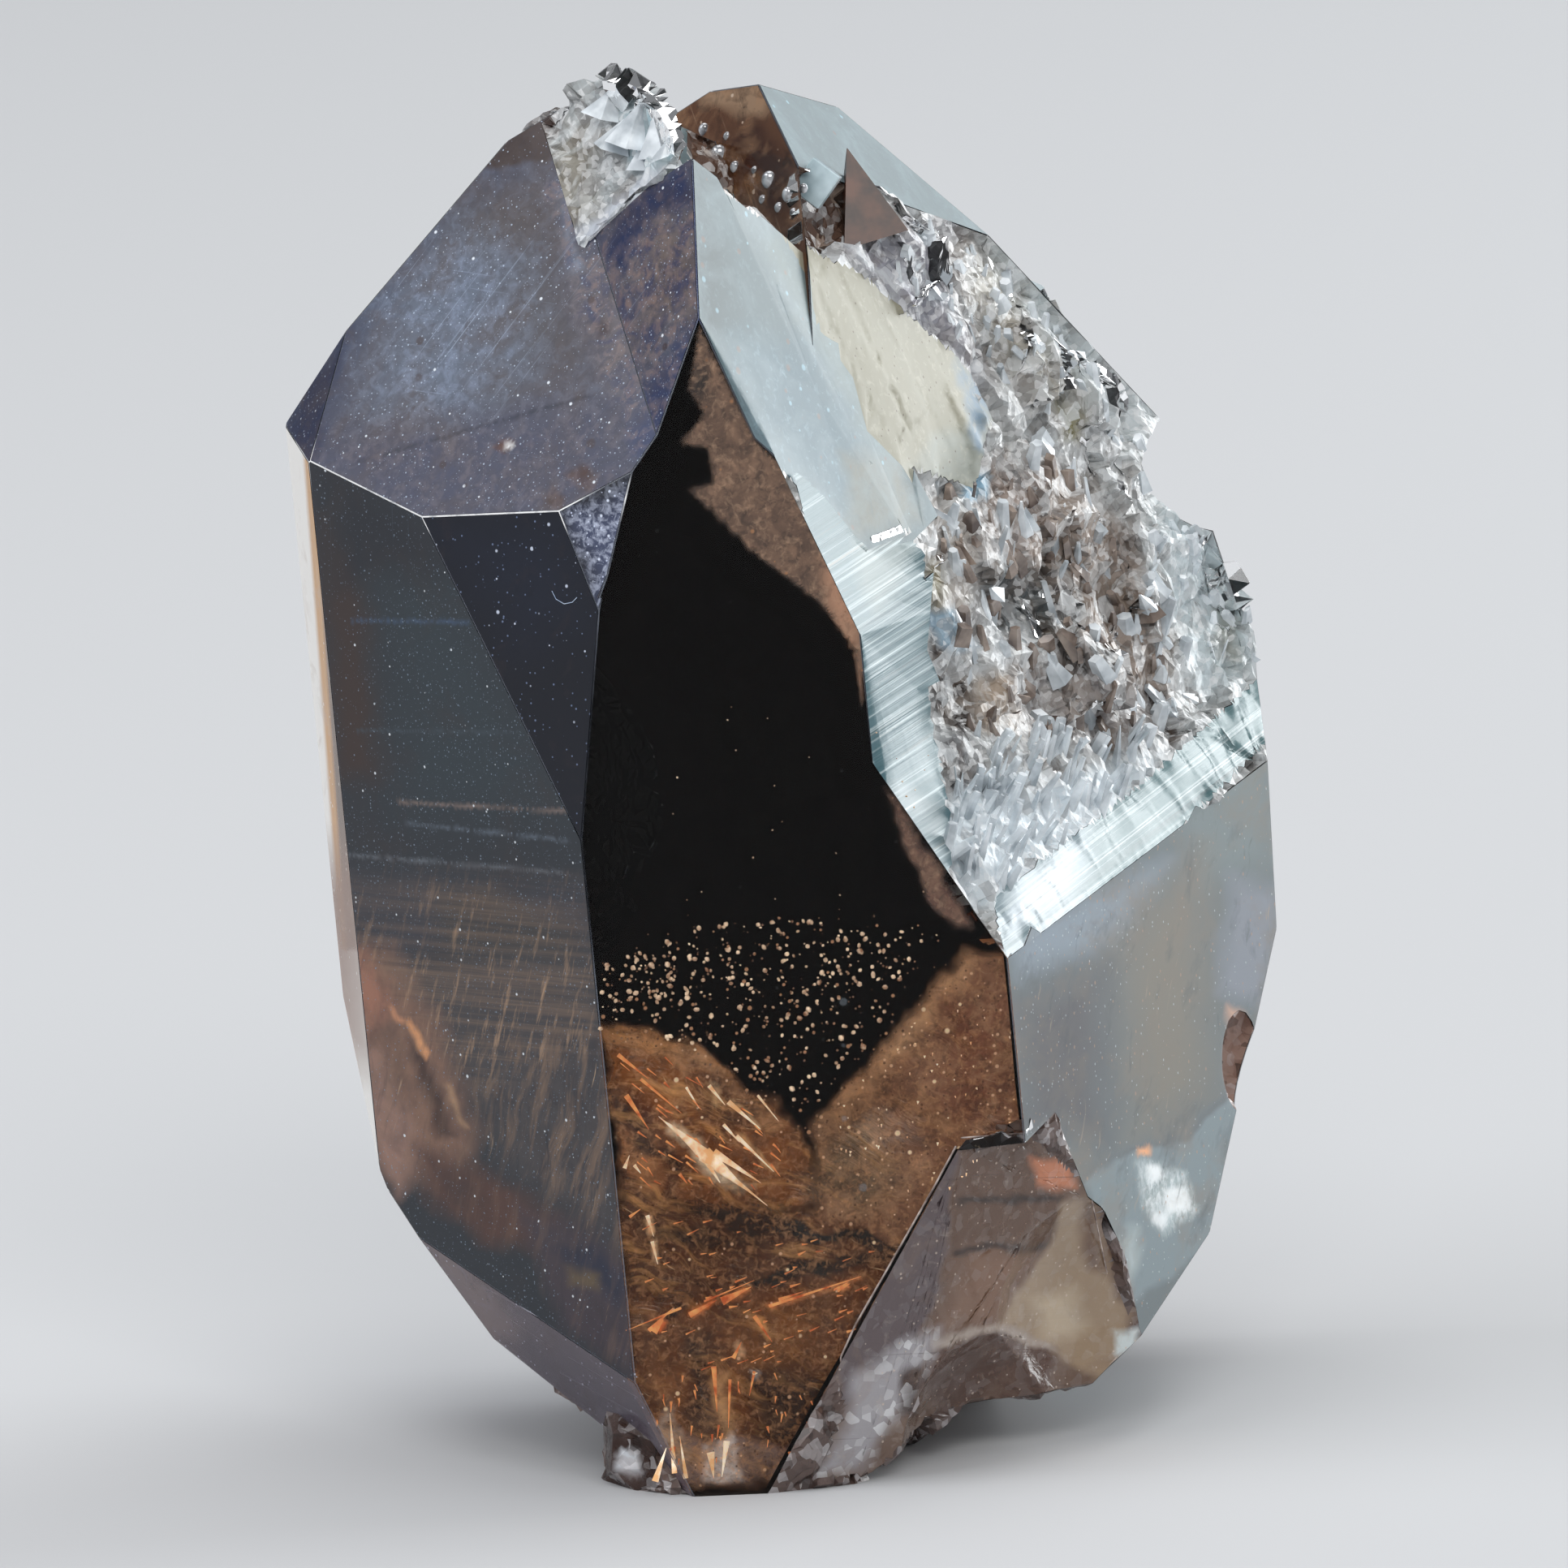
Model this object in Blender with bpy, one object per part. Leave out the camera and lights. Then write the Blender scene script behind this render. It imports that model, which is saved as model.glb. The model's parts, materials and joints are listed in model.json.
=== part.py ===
"""Morion: one specimen of smoky black quartz, several individuals grown together as one piece.

Every crystal face is a plane, given by its azimuth, its rise and its distance from a heart. The
specimen is a handful of convex individuals, each a block cut by its own faces. They are joined, cut
by the faces they share, chipped, and roughened where the rock once held them.
"""

import math

import bmesh
import bpy
from mathutils import Matrix, Vector, noise

MM = 0.001

# The long axis leans to the viewer's left. Distances are measured from the heart.
AXIS_LEAN = math.radians(5.5)
HEART = Vector((0.0, 0.0, 25.0)) * MM
BLOCK = 120 * MM

# A face is (azimuth, rise, distance): azimuth in degrees, 0 towards -Y and 90 towards +X, rise in
# degrees, 0 on a prism face, positive towards the tip and negative towards the root, and distance
# from the heart in millimetres.
SHARED = {
    "front prism": (12.5, 0, 11.5),
    "back prism": (-167.5, 0, 14.4),
    "back right prism": (132.5, 0, 25.2),
    "back left prism": (-107.5, 0, 16.4),
    "root outer left": (-116, -22.8, 17.05),
    "root lower left": (-95, -32.9, 20.65),
    "root under left": (-90, -52.6, 23.05),
    "root striated": (-56, -20, 19.75),
    "outer right": (95, -2.8, 19.15),
    "outer lower right": (95, -24.2, 21.35),
    "root outer right": (95, -57.1, 24.75),
    "root rear": (-167.5, -40, 21),
}
MAIN = {
    "left prism": (-47.5, 0, 14.6),
    "dark wedge": (-35, 7.5, 15.2),
    "frosted wedge": (-25, 12, 15.9),
    "left strip": (-78, 0, 16.75),
    "big tip face": (-36.5, 33, 18.1),
    "left shoulder": (-72, 28.3, 21.1),
    "rear left tip face": (-116, 42, 21.15),
    "rear tip face": (-167.5, 45, 17.5),
    "right tip face": (64.8, 34.7, 12.3),
    "right strip": (68, 0, 7.2),
    "buried right": (66, 16.3, 9),
    "root under right": (75, -60.3, 23.25),
}
SPIRE = {
    "mottled tip face": (-51, 23.2, 15.4),
    "pale tip face": (60.3, 14.6, 9.35),
    "buried right": (66, 16.3, 9.3),
    "spire rear": (173.5, 47.5, 11.8),
    "buried floor": (0, -90, -9),
}
TIP = {
    "tip front": (-51, 23.2, 15.6),
    "tip left": (-119, 56, 23.4),
    "tip right": (118, 25.5, 7.1),
    "tip lower right": (109, 0.5, -3.8),
    "tip rear": (180, 30, 11.5),
    "tip under right": (13, -45.5, -11.8),
    "tip under left": (-121, -38.5, -10.6),
}
REAR = {
    "amber tip face": (-49.5, 23.6, 8.6),
    "pale rear tip face": (75.7, 36.1, 15.76),
    "buried pale": (60.3, 14.6, 9.3),
    "contact slope": (66, 16.3, 9.51),
    "contact wall": (63.2, 2.4, 7.6),
    "rear top": (159, 72, 24.35),
    "rear top left": (-115, 45, 20.1),
    "rear top middle": (-161.5, 58.5, 22.6),
    "rear upper right": (118, 45.5, 21.15),
    "rear right": (124, 44.5, 21.3),
    "rear far right": (127.5, 20.4, 23.05),
    "buried left": (-47.5, 0, 10),
    "buried foot": (70, -63, 23.5),
}
LOWER = {
    "contact shelf": (66.2, 23.8, 7.5),
    "right prism": (68, 0, 10.75),
    "root far right": (11, -83, 24.15),
    "buried left": (-90, 0, -1),
    "buried ceiling": (0, 90, 8),
}

# A corner broken out of the lower right: what lies past two facets, below a ledge.
CHIP_LEDGE = (18, 78.5, -10.5)
CHIPS = {
    "chip left": (28, -10.7, 14.0),
    "chip middle": (45.3, -14.1, 14.0),
}

# Shell-shaped breaks: a point of the surface, the azimuth and rise of the blow, the radius of the
# ball that would fill the break, and its depth.
SCOOPS = {
    "lower right, pale": ((10.3, -4.8, 5.6), (48, -14), 9.0, 1.1),
    "lower right, brown": ((7.4, -7.3, 3.2), (40, -40), 6.0, 1.2),
    "right edge": ((16.7, 9.3, 12.1), (105, -10), 2.2, 0.9),
    "back, top edge": ((9.5, 14.5, 37.0), (-170, 25), 11.0, 1.3),
    "back, left edge": ((-9.0, 12.5, 22.0), (-135, 5), 13.0, 1.2),
    "back, foot": ((7.0, 15.5, 8.0), (-175, -30), 12.0, 1.6),
    "left, foot": ((-13.5, 2.5, 8.0), (-120, -30), 9.0, 1.0),
}

# Notches that cross an edge: the centre and the three radii of each, in millimetres.
NOTCHES = {
    "right edge, upper": ((15.5, 15.0, 33.4), (2.5, 7.0, 2.5)),
}

# Small points in parallel growth with the big crystal.
SPROUT = {
    "left tip face": (-49.5, 25, 15),
    "right tip face": (72.5, 30, 15),
    "rear tip face": (-170, 38, 15),
    "front prism": (12.5, 0, 15),
    "left prism": (-60, 0, 15),
    "right prism": (72.5, 0, 15),
    "back prism": (-167.5, 0, 15),
    "foot": (0, -90, 18),
}
# Where each small point grows, and its size against the big crystal.
SPROUTS = (
    ((1.5, 0.6, 44.6), 0.085),
    ((3.6, 1.7, 43.6), 0.105),
    ((9.0, 7.6, 38.6), 0.075),
    ((10.9, 10.6, 37.0), 0.07),
    ((7.2, 3.6, 35.0), 0.07),
    ((11.0, 4.8, 27.5), 0.075),
    ((6.3, -6.2, 24.0), 0.06),
)

# The glassy knob at the foot of the front left edge.
NUB_HEART = Vector((-5.8, -10.3, 1.6)) * MM
NUB = {
    "nub front": (-25, -4, 1.5),
    "nub left": (-80, 6, 0.85),
    "nub back left": (-125, 0, 1.3),
    "nub top": (-55, 40, 1.35),
    "nub crest": (10, 55, 1.5),
    "nub right": (70, 0, 2.4),
    "nub back": (150, 0, 3),
    "nub foot": (-60, -38, 1.55),
}

# Broken surfaces: the edge length and the relief that each gets, in millimetres.
BROKEN = {
    "contact slope": (1.6, 0.75),
    "contact wall": (1.6, 0.9),
    "contact shelf": (1.6, 0.45),
    "tip front": (1.1, 0.4),
    "tip left": (1.1, 0.25),
    "tip right": (1.1, 0.45),
    "tip rear": (1.5, 0.4),
    "spire rear": (1.8, 0.4),
    "root under left": (2.0, 0.45),
    "root under right": (1.8, 0.45),
    "root far right": (2.0, 0.4),
    "root rear": (2.6, 0.5),
}
# Pits within the broken surfaces: centre, radius and depth of each, in millimetres.
PITS = (
    ((8.8, 1.6, 30.9), 1.7, 0.9),
    ((5.9, -5.6, 28.0), 1.3, 0.8),
    ((9.7, 4.2, 29.0), 1.2, 0.8),
    ((7.6, 3.5, 36.0), 1.4, 0.6),
)
CREAM_PATCH = Vector((2.6, -0.6, 40.5)) * MM
CREAM_REACH = 5 * MM
MOST_SPLITS = 7

# From the middle of the crystal's box, at the height of its foot, to the origin.
TO_ORIGIN = Vector((0.03, -2.56, 0)) * MM


def face_normal(azimuth, rise):
    """The outward direction of a face, leaned with the crystal's axis."""
    turn = math.radians(azimuth)
    lift = math.radians(rise)
    upright = Vector((math.cos(lift) * math.sin(turn), -math.cos(lift) * math.cos(turn), math.sin(lift)))
    return Matrix.Rotation(-AXIS_LEAN, 3, "Y") @ upright


def bisect(bm, point, normal):
    """Cut away what lies past a plane, and close the cut."""
    geom = bm.verts[:] + bm.edges[:] + bm.faces[:]
    result = bmesh.ops.bisect_plane(bm, geom=geom, dist=1e-7, plane_co=point, plane_no=normal, clear_outer=True)
    rim = [item for item in result["geom_cut"] if isinstance(item, bmesh.types.BMEdge)]
    if rim:
        bmesh.ops.contextual_create(bm, geom=rim)


def cut(bm, face, heart=HEART, scale=1.0):
    azimuth, rise, distance = face
    normal = face_normal(azimuth, rise)
    bisect(bm, heart + normal * distance * scale * MM, normal)


def opposite(face):
    """The same plane, facing the other way."""
    azimuth, rise, distance = face
    return (azimuth + 180, -rise, -distance)


def as_object(name, bm):
    bmesh.ops.recalc_face_normals(bm, faces=bm.faces)
    mesh = bpy.data.meshes.new(name)
    bm.to_mesh(mesh)
    bm.free()
    made = bpy.data.objects.new(name, mesh)
    bpy.context.scene.collection.objects.link(made)
    return made


def individual(name, faces, heart=HEART, scale=1.0):
    """A convex crystal: a block cut by each of its faces in turn."""
    bm = bmesh.new()
    bmesh.ops.create_cube(bm, size=BLOCK * scale, matrix=Matrix.Translation(heart))
    for face in faces.values():
        cut(bm, face, heart, scale)
    return as_object(name, bm)


def scoop(name, point, blow, radius, depth):
    centre = Vector(point) * MM + face_normal(*blow) * (radius - depth) * MM
    bm = bmesh.new()
    bmesh.ops.create_icosphere(bm, subdivisions=3, radius=radius * MM, matrix=Matrix.Translation(centre))
    return as_object(name, bm)


def notch(name, centre, radii):
    bm = bmesh.new()
    place = Matrix.Translation(Vector(centre) * MM) @ Matrix.Diagonal(Vector(radii) * MM).to_4x4()
    bmesh.ops.create_icosphere(bm, subdivisions=3, radius=1, matrix=place)
    return as_object(name, bm)


def combine(target, others, operation):
    """Join each other to the target, or cut it away, and keep the result as the target's mesh."""
    for other in others:
        boolean = target.modifiers.new(operation.title(), "BOOLEAN")
        boolean.operation = operation
        boolean.object = other
        graph = bpy.context.evaluated_depsgraph_get()
        mesh = bpy.data.meshes.new_from_object(target.evaluated_get(graph))
        target.modifiers.clear()
        target.data = mesh
        bpy.data.objects.remove(other)


def on_face(mesh_face, face):
    """Whether a face of the mesh lies in the plane of a crystal face."""
    azimuth, rise, distance = face
    normal = face_normal(azimuth, rise)
    middle = mesh_face.calc_center_median() - HEART
    return mesh_face.normal.dot(normal) > 0.9999 and abs(middle.dot(normal) - distance * MM) < 0.02 * MM


def subdivide(bm, face, edge_length):
    """Split the mesh faces that lie in a crystal face until no edge of them is longer than asked."""
    for _ in range(MOST_SPLITS):
        bmesh.ops.triangulate(bm, faces=[found for found in bm.faces if on_face(found, face)])
        edges = {edge for found in bm.faces if on_face(found, face) for edge in found.edges}
        long_edges = [edge for edge in edges if edge.calc_length() > edge_length * MM]
        if not long_edges:
            break
        bmesh.ops.subdivide_edges(bm, edges=long_edges, cuts=1)
    bmesh.ops.triangulate(bm, faces=[found for found in bm.faces if on_face(found, face)])


def relief(place):
    """Uneven broken quartz, between about -1 and 1: slopes that end in small steps."""
    slope = noise.fractal(place / (3.4 * MM), 0.8, 2.1, 3)
    step = noise.noise(place / (2.1 * MM) + Vector((7.3, 1.9, 4.1)))
    return 0.6 * slope + 0.7 * round(step * 3) / 3


def pit_depth(place):
    depth = 0.0
    for centre, radius, deepest in PITS:
        away = (place - Vector(centre) * MM).length / (radius * MM)
        depth += deepest * math.exp(-2 * away * away)
    return depth


def roughen(bm, surfaces, planes):
    """Push the points that lie wholly within broken surfaces in and out, and a little sideways."""
    for name, (edge_length, _) in surfaces.items():
        subdivide(bm, planes[name], edge_length)
    heights = {}
    for name, (_, height) in surfaces.items():
        heights.update({found: height for found in bm.faces if on_face(found, planes[name])})
    moves = {}
    for vert in bm.verts:
        around = list(vert.link_faces)
        if not all(found in heights for found in around):
            continue
        height = min(heights[found] for found in around)
        height *= min(1.0, (vert.co - CREAM_PATCH).length / CREAM_REACH) ** 3
        outward = sum((found.normal for found in around), Vector()).normalized()
        slip = noise.noise_vector(vert.co / (2.3 * MM)) * height / 2
        moves[vert] = (outward * (relief(vert.co) * height - pit_depth(vert.co)) + slip) * MM
    for vert, move in moves.items():
        vert.co += move


# Grow the individuals and join them.
for leftover in list(bpy.data.objects):
    bpy.data.objects.remove(leftover)
specimen = bpy.data.collections.new("morion_specimen")
bpy.context.scene.collection.children.link(specimen)

crystal = individual("morion_crystal", MAIN)
individuals = {"spire": SPIRE, "tip": TIP, "rear": REAR, "lower": LOWER}
combine(crystal, [individual(name, faces) for name, faces in individuals.items()], "UNION")
combine(crystal, [individual("sprout", SPROUT, Vector(place) * MM, size) for place, size in SPROUTS], "UNION")

# Cut the faces that they share, then add the knob at the foot.
bm = bmesh.new()
bm.from_mesh(crystal.data)
for shared in SHARED.values():
    cut(bm, shared)
bmesh.ops.recalc_face_normals(bm, faces=bm.faces)
bm.to_mesh(crystal.data)
bm.free()
combine(crystal, [individual("nub", NUB, NUB_HEART)], "UNION")

# Break out the chips, the shell-shaped scoops and the notch.
chips = [individual("chip", {"facet": opposite(facet), "ledge": CHIP_LEDGE}) for facet in CHIPS.values()]
combine(crystal, chips, "DIFFERENCE")
combine(crystal, [scoop(name, *shape) for name, shape in SCOOPS.items()], "DIFFERENCE")
combine(crystal, [notch(name, *shape) for name, shape in NOTCHES.items()], "DIFFERENCE")

# Roughen the broken surfaces, and cut the foot flat to stand on.
bm = bmesh.new()
bm.from_mesh(crystal.data)
bmesh.ops.remove_doubles(bm, verts=bm.verts, dist=2e-6)
bmesh.ops.dissolve_limit(bm, angle_limit=math.radians(0.2), verts=bm.verts, edges=bm.edges)
roughen(bm, BROKEN, {**MAIN, **SPIRE, **TIP, **REAR, **LOWER, **SHARED})
bisect(bm, Vector((0, 0, 0)), Vector((0, 0, -1)))
bmesh.ops.remove_doubles(bm, verts=bm.verts, dist=2e-6)
bmesh.ops.recalc_face_normals(bm, faces=bm.faces)
bmesh.ops.translate(bm, verts=bm.verts, vec=TO_ORIGIN)
bm.to_mesh(crystal.data)
bm.free()
bpy.context.scene.collection.objects.unlink(crystal)
specimen.objects.link(crystal)

smoky = bpy.data.materials.new("smoky_quartz")
smoky.use_nodes = True
shader = smoky.node_tree.nodes["Principled BSDF"]
shader.inputs["Base Color"].default_value = (0.10, 0.07, 0.05, 1)
shader.inputs["Roughness"].default_value = 0.12
shader.inputs["IOR"].default_value = 1.544
crystal.data.materials.clear()
crystal.data.materials.append(smoky)
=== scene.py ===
# %% [markdown]
# # A morion quartz crystal
# Morion is smoky quartz so dark that a thick piece looks black and only a thin rim lets brown light through.
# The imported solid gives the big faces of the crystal. This notebook dresses it: a glass body, the films of
# etching and frost that lie on each face, the torn crust where it grew against rock, and the veils inside.

import json
import math
import random

import bmesh
import bpy
import numpy as np
from mathutils import Matrix, Vector, noise
from mathutils.bvhtree import BVHTree

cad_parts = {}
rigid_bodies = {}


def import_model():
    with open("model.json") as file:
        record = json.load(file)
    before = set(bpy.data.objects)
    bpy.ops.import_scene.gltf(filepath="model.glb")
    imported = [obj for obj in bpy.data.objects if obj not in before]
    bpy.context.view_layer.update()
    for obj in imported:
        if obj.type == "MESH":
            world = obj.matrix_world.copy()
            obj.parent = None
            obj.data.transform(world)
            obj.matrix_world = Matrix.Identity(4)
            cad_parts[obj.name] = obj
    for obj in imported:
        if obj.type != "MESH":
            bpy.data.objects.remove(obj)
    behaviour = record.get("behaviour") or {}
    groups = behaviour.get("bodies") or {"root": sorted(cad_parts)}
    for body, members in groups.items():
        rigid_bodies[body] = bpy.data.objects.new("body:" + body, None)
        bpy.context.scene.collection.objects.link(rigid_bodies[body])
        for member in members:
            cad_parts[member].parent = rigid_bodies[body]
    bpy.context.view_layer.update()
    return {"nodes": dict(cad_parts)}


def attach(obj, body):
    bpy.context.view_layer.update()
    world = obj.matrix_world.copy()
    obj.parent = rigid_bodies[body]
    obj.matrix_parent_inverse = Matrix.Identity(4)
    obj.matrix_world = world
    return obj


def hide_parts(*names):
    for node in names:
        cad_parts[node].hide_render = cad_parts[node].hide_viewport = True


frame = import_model()
crystal_cad = frame["nodes"]["morion_crystal"]

# %% [markdown]
# ## Camera, floor and light
# The specimen was photographed from a little above with a long lens, which keeps its upright edges parallel.
# A studio camera far away with a long lens does the same. The floor is one pale sheet, and the light comes
# from wide soft panels, so that the flat faces show long quiet reflections instead of small hot spots.

# %% The camera
MM = 0.001
CAMERA_RISE = math.radians(10)
LENS = 600
SENSOR = 36
FRAME_WIDTH = 57.96 * MM
AIM = Vector((-0.06, -2.56, 24.21)) * MM
SIGHT = Vector((0, math.cos(CAMERA_RISE), -math.sin(CAMERA_RISE)))
FRAME_UP = Vector((0, math.sin(CAMERA_RISE), math.cos(CAMERA_RISE)))
STAND_OFF = FRAME_WIDTH * LENS / SENSOR
EYE = AIM - SIGHT * STAND_OFF

lens = bpy.data.cameras.new("studio_camera")
lens.lens = LENS
lens.sensor_width = SENSOR
lens.clip_start = 0.05
lens.clip_end = 20
camera = bpy.data.objects.new("studio_camera", lens)
camera.location = EYE
camera.rotation_euler = (math.radians(90) - CAMERA_RISE, 0, 0)
bpy.context.scene.collection.objects.link(camera)
bpy.context.scene.camera = camera
print("camera stands", round(STAND_OFF, 3), "m away")

# %% A helper for shader nodes
def add(tree, kind, inputs=None, **settings):
    """A new node, with its settings, and its inputs as numbers or as links from other sockets."""
    made = tree.nodes.new(kind)
    for key, value in settings.items():
        setattr(made, key, value)
    for key, value in (inputs or {}).items():
        if isinstance(value, bpy.types.NodeSocket):
            tree.links.new(value, made.inputs[key])
        else:
            made.inputs[key].default_value = value
    return made


def rgb(red, green, blue):
    """A colour as it looks on a screen, 0 to 255, turned into the linear light that shaders mix."""
    screen = np.array((red, green, blue)) / 255
    linear = np.where(screen < 0.04045, screen / 12.92, ((screen + 0.055) / 1.055) ** 2.4)
    return (*(float(x) for x in linear), 1.0)


def new_material(name):
    """An empty material, and the tree that it is made in."""
    material = bpy.data.materials.new(name)
    material.use_nodes = True
    tree = material.node_tree
    tree.nodes.clear()
    return material, tree


# %% The floor
def new_object(name, mesh_edit, material=None):
    """An object at the origin from a finished bmesh."""
    mesh = bpy.data.meshes.new(name)
    mesh_edit.to_mesh(mesh)
    mesh_edit.free()
    made = bpy.data.objects.new(name, mesh)
    bpy.context.scene.collection.objects.link(made)
    if material:
        made.data.materials.clear()
        made.data.materials.append(material)
    return made


FLOOR_REACH = 6.0
paper, paper_tree = new_material("pale_studio_paper")
paper_coat = add(
    paper_tree,
    "ShaderNodeBsdfPrincipled",
    {"Base Color": rgb(204, 205, 207), "Roughness": 0.9, "Specular IOR Level": 0.05},
)
paper_out = add(paper_tree, "ShaderNodeOutputMaterial", {"Surface": paper_coat.outputs[0]})
floor_edit = bmesh.new()
bmesh.ops.create_grid(floor_edit, x_segments=1, y_segments=1, size=FLOOR_REACH)
floor = new_object("studio_floor", floor_edit, paper)
print("floor is", 2 * FLOOR_REACH, "m wide")

# %% The light
SKY = rgb(216, 219, 224)
PANELS = {
    "left panel": ((-0.50, -0.25, 0.40), 0.50, 0.45, 2.0, (0.95, 0.97, 1.0)),
    "front panel": ((0.12, -0.75, 0.62), 0.55, 0.35, 3.0, (1.0, 0.99, 0.97)),
    "right back panel": ((0.55, 0.42, 0.22), 0.50, 0.45, 4.2, (0.96, 0.99, 1.0)),
    "top panel": ((0.0, 0.10, 0.85), 0.60, 0.60, 3.2, (1.0, 1.0, 1.0)),
}


def area_light(name, place, width, height, power, colour):
    """A soft panel that faces the crystal."""
    data = bpy.data.lights.new(name, "AREA")
    data.shape = "RECTANGLE"
    data.size = width
    data.size_y = height
    data.energy = power
    data.color = colour
    made = bpy.data.objects.new(name, data)
    made.location = place
    made.rotation_euler = (AIM - Vector(place)).to_track_quat("-Z", "Y").to_euler()
    bpy.context.scene.collection.objects.link(made)
    return made


for title, (place, width, height, power, colour) in PANELS.items():
    area_light(title, place, width, height, power, colour)
world = bpy.data.worlds.new("soft_room")
world.use_nodes = True
world.node_tree.nodes["Background"].inputs["Color"].default_value = SKY
world.node_tree.nodes["Background"].inputs["Strength"].default_value = 0.30
bpy.context.scene.world = world
bpy.context.scene.view_settings.view_transform = "Standard"
print("panels:", len(PANELS))

# %% [markdown]
# ## The faces of the crystal
# Every natural face of a crystal is a flat plane at a fixed angle. A plane needs three numbers: the way it
# faces round the crystal, how far it tips upward, and how far it lies from the crystal's heart. With them each
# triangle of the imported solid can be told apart, and a point of the photograph can be put on its own face.

# %% The planes, in degrees and millimetres
LEAN = Matrix.Rotation(math.radians(-5.5), 3, "Y")
HEART = Vector((0.03, -2.56, 25)) * MM
PLANES = {
    "front prism": (12.5, 0, 11.5),
    "left prism": (-47.5, 0, 14.6),
    "dark wedge": (-35, 7.5, 15.2),
    "frosted wedge": (-25, 12, 15.9),
    "left strip": (-78, 0, 16.75),
    "big tip face": (-36.5, 33, 18.1),
    "left shoulder": (-72, 28.3, 21.1),
    "mottled tip face": (-51, 23.2, 15.4),
    "pale tip face": (60.3, 14.6, 9.35),
    "right tip face": (64.8, 34.7, 12.3),
    "right strip": (68, 0, 7.2),
    "amber tip face": (-49.5, 23.6, 8.6),
    "pale rear tip face": (75.7, 36.1, 15.76),
    "right prism": (68, 0, 10.75),
    "outer right": (95, -2.8, 19.15),
    "outer lower right": (95, -24.2, 21.35),
    "root outer right": (95, -57.1, 24.75),
    "root striated": (-56, -20, 19.75),
    "root outer left": (-116, -22.8, 17.05),
    "root lower left": (-95, -32.9, 20.65),
    "back prism": (-167.5, 0, 14.4),
    "back right prism": (132.5, 0, 25.2),
    "back left prism": (-107.5, 0, 16.4),
    "rear left tip face": (-116, 42, 21.15),
    "rear tip face": (-167.5, 45, 17.5),
    "rear top": (159, 72, 24.35),
    "rear top left": (-115, 45, 20.1),
    "rear top middle": (-161.5, 58.5, 22.6),
    "rear upper right": (118, 45.5, 21.15),
    "rear right": (124, 44.5, 21.3),
    "rear far right": (127.5, 20.4, 23.05),
}
FACES = list(PLANES)
BROKEN = -1
WORN_EDGE = -2


def facing(name):
    """The outward direction of a face."""
    around, rise, _ = PLANES[name]
    a, r = math.radians(around), math.radians(rise)
    return LEAN @ Vector((math.cos(r) * math.sin(a), -math.cos(r) * math.cos(a), math.sin(r)))


def on_face(px, py, name):
    """The point of a face that shows at a pixel of the photograph, which is 1932 pixels wide."""
    target = AIM + Vector((1, 0, 0)) * (px - 966) * 0.03 * MM + FRAME_UP * (966 - py) * 0.03 * MM
    ray = (target - EYE).normalized()
    normal = facing(name)
    return EYE + ray * ((PLANES[name][2] * MM - normal.dot(EYE - HEART)) / normal.dot(ray))


def seen_at(points):
    """The photograph's pixel of each point, from an array of places."""
    away = points - np.array(EYE)
    depth = away @ np.array(SIGHT)
    across = away[:, 0] / depth * STAND_OFF
    up = (away @ np.array(FRAME_UP)) / depth * STAND_OFF
    return np.stack((966 + across / (0.03 * MM), 966 - up / (0.03 * MM)), axis=1)


print("the tip of the left strip is at", on_face(358, 560, "left prism"))

# %% Tell the triangles apart
normals = np.array([facing(name) for name in FACES])
offsets = np.array([PLANES[name][2] * MM for name in FACES])
stone = bmesh.new()
stone.from_mesh(crystal_cad.data)
bmesh.ops.remove_doubles(stone, verts=stone.verts, dist=0.004 * MM)
region = stone.faces.layers.int.new("region")
for face in stone.faces:
    turned = normals @ np.array(face.normal)
    gap = np.abs(normals @ np.array(face.calc_center_median() - HEART) - offsets)
    gap[turned < math.cos(math.radians(3))] = 1
    face[region] = int(gap.argmin()) if gap.min() < 0.12 * MM else BROKEN
count = {name: 0 for name in FACES}
for face in stone.faces:
    if face[region] >= 0:
        count[FACES[face[region]]] += 1
print("triangles by face:", count, "broken", sum(f[region] == BROKEN for f in stone.faces))

# %% [markdown]
# ## The body
# The edges of a real crystal are sharp, but each one carries a hair of wear that catches the light. The broken
# parts are rough at every scale. So the flat triangles are joined into whole faces, the edges between faces get
# a bevel less than a tenth of a millimetre wide, and the broken parts are cut finer and shaken a little.

# %% Join the flat triangles and wear the edges
PALE, RIGHT_TIP, STRIP = (FACES.index(n) for n in ("pale tip face", "right tip face", "right strip"))
same = [
    e
    for e in stone.edges
    if len(e.link_faces) == 2
    and e.link_faces[0][region] == e.link_faces[1][region]
    and e.link_faces[0][region] >= 0
]
bmesh.ops.dissolve_limit(stone, angle_limit=math.radians(1), verts=[], edges=same)
sharp = [
    e
    for e in stone.edges
    if len(e.link_faces) == 2
    and min(f[region] for f in e.link_faces) >= 0
    and {f[region] for f in e.link_faces} != {PALE, RIGHT_TIP}
    and e.calc_face_angle() > math.radians(4)
]
worn = bmesh.ops.bevel(
    stone,
    geom=sharp,
    affect="EDGES",
    offset=0.07 * MM,
    segments=2,
    profile=0.5,
    material=-1,
    clamp_overlap=True,
)
for face in worn["faces"]:
    face[region] = WORN_EDGE
print("worn edges:", len(sharp), "new faces", len(worn["faces"]))

# %% Cut the broken parts finer
GRAIN_STEP = 0.42 * MM
CREAM, BAND, CHIP, NUB, JUMBLE = -3, -4, -5, -6, -7
random.seed(11)


def even_out(mesh_edit):
    """Turns the diagonals inside flat faces, so that no sliver is left to be cut."""
    flat = [
        e
        for e in mesh_edit.edges
        if len(e.link_faces) == 2 and e.calc_face_angle() < 0.004
    ]
    bmesh.ops.beautify_fill(mesh_edit, faces=mesh_edit.faces, edges=flat, method="ANGLE")


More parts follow.
